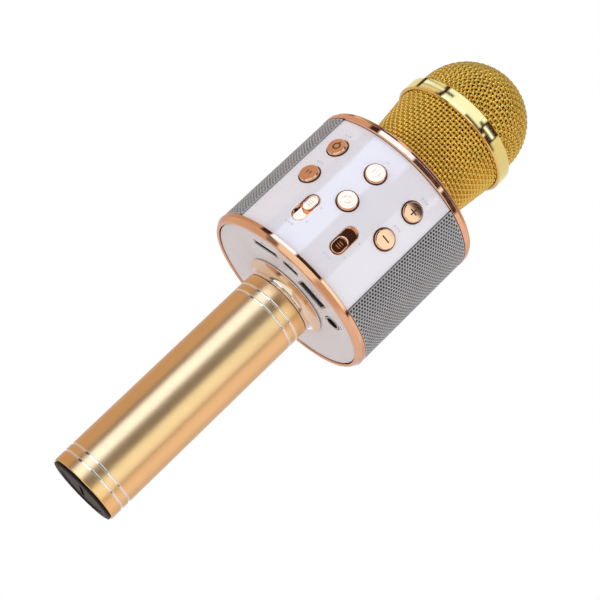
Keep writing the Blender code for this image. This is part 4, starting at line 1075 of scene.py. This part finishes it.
for name, (column, row) in key_spots.items():
    here = on_panel(key_columns[column], key_rows[row])
    profile = [
        (0.0, key_proud), (key_r * 0.45, key_proud - 0.2 * key_crown),
        (key_r - key_chamfer, key_proud - key_crown, 0.06 * MM),
        (key_r - 0.12 * MM, key_proud - key_chamfer, 0.15 * MM),
        (key_r, key_proud - key_chamfer - 0.5 * MM, 0.3 * MM), (key_r, -2.7 * MM),
        (key_r + key_foot_spread, -2.7 * MM, 0.1 * MM), (key_r + key_foot_spread, -3.5 * MM, 0.1 * MM),
        (1.5 * MM, -3.5 * MM), (1.5 * MM, -5.0 * MM), (0.0, -5.0 * MM),
    ]
    mesh = lathe("key", rounded(profile, closed=False), 72, False)
    key_piece = add_object("key_polished_" + name, mesh, rose_gold, dark_enamel)
    carve(key_piece, *key_marks[name]())
    shade(key_piece.data, 24.0)
    placed(key_piece.data, here)
    fit(key_piece, "key_" + name, "rose_gold", "key_" + name)
    # the liner fills the gap round the key at the panel's face; its near-black colour is painted shade for the gap
    inner, outer = key_r + bezel_gap, key_r + key_play - 0.02 * MM
    bezel = lathe("key_bezel_" + name, [
        (inner, -bezel_depth), (inner, 0.0), (inner + 0.05 * MM, bezel_proud), (outer, bezel_proud),
        (outer, -bezel_depth)], 64)
    fit(add_object("key_bezel_" + name, placed(bezel, here), gap_shade_liner), "housing", "rose_gold")

# ------------------------------------------------------------------------------------------
# Slide knobs. A round-ended polished knob in each slot, with a raised rim and three grip ribs,
# on a polished plate behind the panel that closes the slot wherever the knob stands.
# ------------------------------------------------------------------------------------------
knob_size = (7.8 * MM, 5.3 * MM)
knob_proud = 0.6 * MM
knob_plate = (19.2 * MM, 7.6 * MM)
knob_plate_top = -1.35 * MM
knob_plate_wall = 0.42 * MM
knob_rim = 1.0 * MM
rib_pitch = 1.05 * MM
knob_dish = 0.28 * MM

for side, sign in (("left", -1), ("right", 1)):
    low, high = knob_box[side]
    rest = (low[2] + high[2]) / 2.0
    here = on_panel(sign * slot_column, rest)
    body = bar(knob_size[0], knob_size[1], -2.2 * MM, knob_proud, knob_size[1] / 2.0, 16)
    knob = add_object("knob_" + side, body, rose_gold, dark_enamel)
    soften(knob, 0.35 * MM, 4)
    dish_length, dish_width = knob_size[0] - 2.0 * knob_rim, knob_size[1] - 2.0 * knob_rim
    carve(knob, bar(dish_length, dish_width, knob_proud - knob_dish, knob_proud + MM, dish_width / 2.0, 12))
    shade(knob.data, 24.0)
    placed(knob.data, here)
    fit(knob, "slide_knob_" + side, "rose_gold", "slide_knob_" + side)
    ribs = []
    for k in (-1, 0, 1):
        rib = bar(0.32 * MM, 2.1 * MM, knob_proud - 0.36 * MM, knob_proud - 0.02 * MM, 0.14 * MM, 3)
        ribs.append(placed(rib, here @ Matrix.Translation((0.0, k * rib_pitch, 0.0))))
    rib_mesh = merged("knob_ribs_" + side, ribs)
    fit(add_object("knob_ribs_" + side, rib_mesh, rose_gold), "slide_knob_" + side, "rose_gold")
    shoe = bar(knob_plate[0], knob_plate[1], knob_plate_top - knob_plate_wall, knob_plate_top, 1.5 * MM, 6)
    plate_shoe = add_object("knob_plate_" + side, placed(shoe, here), rose_gold)
    shade(plate_shoe.data)
    fit(plate_shoe, "slide_knob_" + side, "rose_gold")

# ------------------------------------------------------------------------------------------
# Top ring and lid. A polished rose-gold hoop round the top of the body, stepped in at its
# shoulder and with a rolled bead on top; inside it the plated lid with the head's screw socket.
# ------------------------------------------------------------------------------------------
lid_dish = 0.5 * MM

ring_low, ring_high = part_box("top_ring")
bore = plate_r + 0.3 * MM
shoulder = ring_low[2] + 2.2 * MM
bead_top = ring_high[2] + 0.35 * MM
profile = [
    (bore, ring_low[2]), (body_r + ring_proud, ring_low[2], 0.15 * MM), (body_r + ring_proud, shoulder, 0.2 * MM),
    (body_r - 0.6 * MM, shoulder + 0.2 * MM, 0.08 * MM), (body_r - 0.7 * MM, ring_high[2] - 0.1 * MM, 0.1 * MM),
    (body_r - 0.45 * MM, ring_high[2] + 0.05 * MM, 0.12 * MM), (body_r - 0.6 * MM, bead_top, 0.14 * MM),
    (bore, bead_top, 0.3 * MM),
]
turned("top_ring_polished", profile, rose_gold, "rose_gold", "top_ring", turns=256, steps=8)

lid_low, lid_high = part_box("top_plate")
socket_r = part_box("head_washer")[1][0] - 4.3 * MM
socket_bore = bore_of("top_plate")
lid_top = lid_low[2] + 2.1 * MM
profile = [
    (socket_bore, lid_high[2], 0.3 * MM), (socket_r, lid_high[2], 0.45 * MM),
    *threaded(socket_r, lid_high[2] - 0.9 * MM, lid_top + 2.2 * MM),
    (socket_r, lid_top, 0.25 * MM), (socket_r + 5.2 * MM, lid_top, 0.2 * MM),
    (socket_r + 5.8 * MM, lid_top - lid_dish, 0.25 * MM), (lid_high[0] - 1.6 * MM, lid_top - lid_dish, 0.25 * MM),
    (lid_high[0] - 1.0 * MM, lid_top, 0.2 * MM), (lid_high[0], lid_top, 0.2 * MM), (lid_high[0], lid_low[2]),
    (socket_bore, lid_low[2]),
]
turned("top_lid", profile, rose_gold, "rose_gold", "top_plate")

# ------------------------------------------------------------------------------------------
# Woven basket, lower part. Plain-woven brass wire, plated yellow gold and rolled into a slight
# cone. Upright wires and hoops pass over and under each other; the ends sit in collar and band.
# ------------------------------------------------------------------------------------------
mesh_gold_colour = (0.88, 0.62, 0.14)
wire_r = 0.64 * MM
wire_sides = 6
crossings_up = 19
crossings_round = 92
samples = 4                    # points along a wire from one crossing to the next
weave_depth = 0.54 * MM


def wire_quads(points, normals, radius, ring=False):
    """The points and faces of a wire along a path, with a normal at each point to start its sides from."""
    path = np.asarray(points)
    ahead = np.roll(path, -1, axis=0) - np.roll(path, 1, axis=0)
    if not ring:
        ahead[0], ahead[-1] = path[1] - path[0], path[-1] - path[-2]
    ahead /= np.linalg.norm(ahead, axis=1)[:, None]
    side = np.cross(ahead, np.asarray(normals))
    side /= np.linalg.norm(side, axis=1)[:, None]
    up = np.cross(side, ahead)
    angles = 2.0 * math.pi * np.arange(wire_sides) / wire_sides
    loops = path[:, None, :] + radius * (
        np.cos(angles)[None, :, None] * up[:, None, :] + np.sin(angles)[None, :, None] * side[:, None, :])
    count = len(path)
    grid = np.arange(count * wire_sides).reshape(count, wire_sides)
    following = np.roll(grid, -1, axis=0) if ring else grid[1:]
    start = grid if ring else grid[:-1]
    quads = np.stack((start, np.roll(start, -1, axis=1), np.roll(following, -1, axis=1), following), axis=2)
    quads = quads.reshape(-1, 4)
    if not ring:
        first, last = grid[0], grid[-1]
        ends = [(first[3], first[2], first[1], first[0]), (first[5], first[4], first[3], first[0]),
                (last[0], last[1], last[2], last[3]), (last[0], last[3], last[4], last[5])]
        quads = np.vstack((quads, ends))
    return loops.reshape(-1, 3), quads


def woven(name, wires, mat):
    """One object from many wires, each (points, normals, closed)."""
    all_verts, all_quads, total = [], [], 0
    for points, normals, ring in wires:
        verts, quads = wire_quads(points, normals, wire_r, ring)
        all_verts.append(verts)
        all_quads.append(quads + total)
        total += len(verts)
    made = quad_object(name, np.vstack(all_verts), np.vstack(all_quads), mat)
    outward(made.data)
    made.data.polygons.foreach_set("use_smooth", [True] * len(made.data.polygons))
    return made


mesh_gold = finish(
    "mesh_gold", mesh_gold_colour, 0.11, 1.0, grain=(0.25, 0.004), tone=0.10, smears=0.3, scratches=0.2, dull=0.12)
basket_low, basket_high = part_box("lower_mesh")
places = np.array([v.co[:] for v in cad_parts["lower_mesh"].data.vertices])
reach = np.hypot(places[:, 0], places[:, 1])
foot_r = reach[places[:, 2] < basket_low[2] + MM].max() - 1.25 * MM
top_r = reach[places[:, 2] > basket_high[2] - MM].max() - 0.1 * MM
length = basket_high[2] - basket_low[2]
wires = []
steps = crossings_up * samples
for w in range(crossings_round):
    a = 2.0 * math.pi * w / crossings_round
    t = np.arange(steps + 1) / steps
    phase = math.pi * (t * crossings_up + w)
    radius = foot_r + (top_r - foot_r) * t + weave_depth * np.sin(phase)
    out = np.tile((math.cos(a), math.sin(a), 0.0), (steps + 1, 1))
    points = out * radius[:, None]
    points[:, 2] = basket_low[2] + length * t
    wires.append((points, out, False))
steps = crossings_round * samples
for h in range(crossings_up):
    t = (h + 0.5) / crossings_up
    angles = 2.0 * math.pi * np.arange(steps) / steps
    # an upright wire crosses at each whole step, over or under turn by turn
    out = np.stack((np.cos(angles), np.sin(angles), np.zeros(steps)), axis=1)
    crossing = angles * crossings_round / (2.0 * math.pi)
    radius = foot_r + (top_r - foot_r) * t - weave_depth * np.cos(math.pi * crossing) * (1 if h % 2 == 0 else -1)
    points = out * radius[:, None]
    points[:, 2] = basket_low[2] + length * t
    wires.append((points, out, True))
basket = woven("lower_basket_woven", wires, mesh_gold)
fit(basket, "head", "yellow_gold_mesh", "lower_mesh")

# ------------------------------------------------------------------------------------------
# Head band. A spun brass hoop, polished and plated a yellower gold, that clamps both parts of
# the basket: barely crowned outside, with bevelled edges and turned in at its foot.
# ------------------------------------------------------------------------------------------
band_gold_colour = (0.90, 0.70, 0.29)

band_gold = polished("band_gold", band_gold_colour, 0.055, dull=0.08)
band_low, band_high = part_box("head_band")
band_r = band_high[0] + 0.6 * MM
band_top = band_high[2] + 1.2 * MM
band_bulge = 0.03 * MM
bulge_steps = 10
dome_low, dome_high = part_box("dome_mesh")
dome_foot, dome_r = dome_low[2], dome_high[0]
lower_bore = basket_high[0] + 1.15 * MM
face_low, face_high = band_low[2] + 0.5 * MM, band_top - 0.75 * MM
face = []
for k in range(bulge_steps + 1):
    t = 1.0 - k / bulge_steps
    face.append((band_r - band_bulge * (2.0 * t - 1.0) ** 2, face_low + (face_high - face_low) * t))
profile = [
    (dome_r + 0.75 * MM, band_top, 0.15 * MM), (band_r - 0.75 * MM, band_top, 0.2 * MM), *face,
    (band_r - 0.5 * MM, band_low[2], 0.15 * MM), (lower_bore, band_low[2], 0.1 * MM),
    (lower_bore, basket_high[2] + 0.5 * MM), (dome_r - 1.6 * MM, basket_high[2] + 0.5 * MM),
    (dome_r - 1.6 * MM, dome_foot - 0.3 * MM), (dome_r + 0.75 * MM, dome_foot - 0.3 * MM),
]
turned("head_band_polished", profile, band_gold, "yellow_gold_band", "head_band", "head", turns=256, steps=5)

# ------------------------------------------------------------------------------------------
# Woven basket, dome. A flat disc of the same plain weave, pressed over a ball: straight wires
# cross at the crown and shear together towards the band.
# ------------------------------------------------------------------------------------------
dome_pitch = 2.25 * MM
turn_weave = math.radians(31.0)   # the wires' direction round the axis

ball_r = dome_r - 0.50 * MM
ball_z = dome_high[2] - dome_r - 0.4 * MM
skirt = ball_z - dome_foot - 0.1 * MM
disc_r = ball_r * math.pi / 2.0 + skirt


def pressed(u, v):
    """The place and the outward normal, on the ball and its skirt, of a point of the flat disc."""
    rho = np.hypot(u, v)
    spin = np.arctan2(v, u)
    tilt = np.minimum(rho / ball_r, math.pi / 2.0)
    drop = np.maximum(rho - ball_r * math.pi / 2.0, 0.0)
    normal = np.stack((np.sin(tilt) * np.cos(spin), np.sin(tilt) * np.sin(spin), np.cos(tilt)), axis=1)
    place = normal * ball_r
    place[:, 2] += ball_z - drop
    return place, normal


wires = []
half_count = int(disc_r / dome_pitch)
for family in (0, 1):
    for k in range(-half_count, half_count + 1):
        offset = k * dome_pitch
        reach = math.sqrt(max(disc_r ** 2 - offset ** 2, 0.0))
        last = int(reach / dome_pitch)
        if last < 2:
            continue
        t = np.arange(-last * samples, last * samples + 1) / samples
        along = t * dome_pitch
        u, v = (along, np.full_like(along, offset)) if family == 0 else (np.full_like(along, offset), along)
        turn_cos, turn_sin = math.cos(turn_weave), math.sin(turn_weave)
        u, v = u * turn_cos - v * turn_sin, u * turn_sin + v * turn_cos
        place, normal = pressed(u, v)
        over = np.cos(math.pi * t) * (1 if k % 2 == 0 else -1) * (1 if family == 0 else -1)
        wires.append((place + normal * (weave_depth * over)[:, None], normal, False))
dome = woven("dome_woven", wires, mesh_gold)
fit(dome, "head", "yellow_gold_mesh", "dome_mesh")

# ------------------------------------------------------------------------------------------
# Windscreen. Ochre open-cell foam, cut and pressed into the basket: it fills the mesh closely,
# with a hollow over the capsule.
# ------------------------------------------------------------------------------------------
foam_colour = (0.20, 0.12, 0.025)

foam = finish(
    "foam", foam_colour, 0.95, grain=(0.55, 0.30), tone=0.5, smears=0.0, scratches=0.0, dull=0.03, Sheen_Weight=0.3)
foam_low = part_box("foam_windscreen")[0]
foam_r = ball_r - weave_depth - wire_r - 0.05 * MM
foot = foot_r - weave_depth - wire_r - 0.4 * MM
profile = []
for k in range(19):
    a = math.radians(90.0 - 5.0 * k)
    profile.append((foam_r * math.cos(a) if k else 0.0, ball_z + foam_r * math.sin(a)))
for k in range(1, 9):
    t = k / 8.0
    profile.append((foam_r + (foot - foam_r) * t, ball_z + (foam_low[2] - ball_z) * t))
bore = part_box("mic_capsule")[1][0] + 4.5 * MM
hollow_top = ball_z + 2.0 * MM
profile += [
    (bore, foam_low[2]), (bore, ball_z - 3.0 * MM), (bore - 5.0 * MM, hollow_top), (0.0, hollow_top)]
mesh = lathe("windscreen_foam", profile, 96, False)
random.seed(7)
for vertex in mesh.vertices:
    vertex.co *= 1.0 - 0.0010 * random.random()
windscreen = add_object("windscreen_foam", mesh, foam)
fit(windscreen, "head", "foam", "foam_windscreen")

# ------------------------------------------------------------------------------------------
# Inside. The pieces behind the skin keep their plain shapes and get their real finishes: the
# drum, the boards with their switches, the speakers, the battery and its sleeve, the capsule.
# ------------------------------------------------------------------------------------------
board_green_colour = (0.015, 0.14, 0.055)
wrap_colour = (0.05, 0.17, 0.42)
paper_colour = (0.045, 0.042, 0.040)

black_liner = finish("black_liner", (0.012, 0.012, 0.013), 0.7, grain=(0.35, 0.03), tone=0.3)
grey_plastic = finish("grey_plastic", (0.20, 0.20, 0.21), 0.5, grain=(0.3, 0.01), tone=0.12)
rubber = finish("rubber", (0.020, 0.020, 0.021), 0.72, grain=(0.15, 0.012), tone=0.3, smears=0.7)
solder_mask = finish("solder_mask", board_green_colour, 0.32, grain=(1.2, 0.02), tone=0.3, Coat_Weight=0.4)
cell_wrap = finish("cell_wrap", wrap_colour, 0.30, grain=(0.9, 0.01), tone=0.06, Coat_Weight=0.3)
cone_paper = finish("cone_paper", paper_colour, 0.88, grain=(0.5, 0.05), tone=0.35)
inside = {
    "inner_drum": black_liner, "key_board": solder_mask, "main_board": solder_mask, "battery_cell": cell_wrap,
    "battery_sleeve": grey_plastic, "battery_lead": rubber, "cap_seal": rubber, "cap_spring": steel,
    "capsule_holder": rubber, "mic_capsule": steel, "head_washer": rubber, "head_collar": steel,
}
for side in ("left", "right"):
    inside["slide_switch_" + side] = steel
    inside["speaker_frame_" + side] = steel
    inside["speaker_magnet_" + side] = steel
    inside["speaker_cone_" + side] = cone_paper
for k in (1, 2, 3):
    inside[f"neck_screw_{k}"] = steel
for name in key_spots:
    inside["tact_switch_" + name] = black_plastic
    inside["tact_plunger_" + name] = steel
for name, mat in inside.items():
    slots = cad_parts[name].material_slots
    for k in range(len(slots)):
        slots[k].material = mat
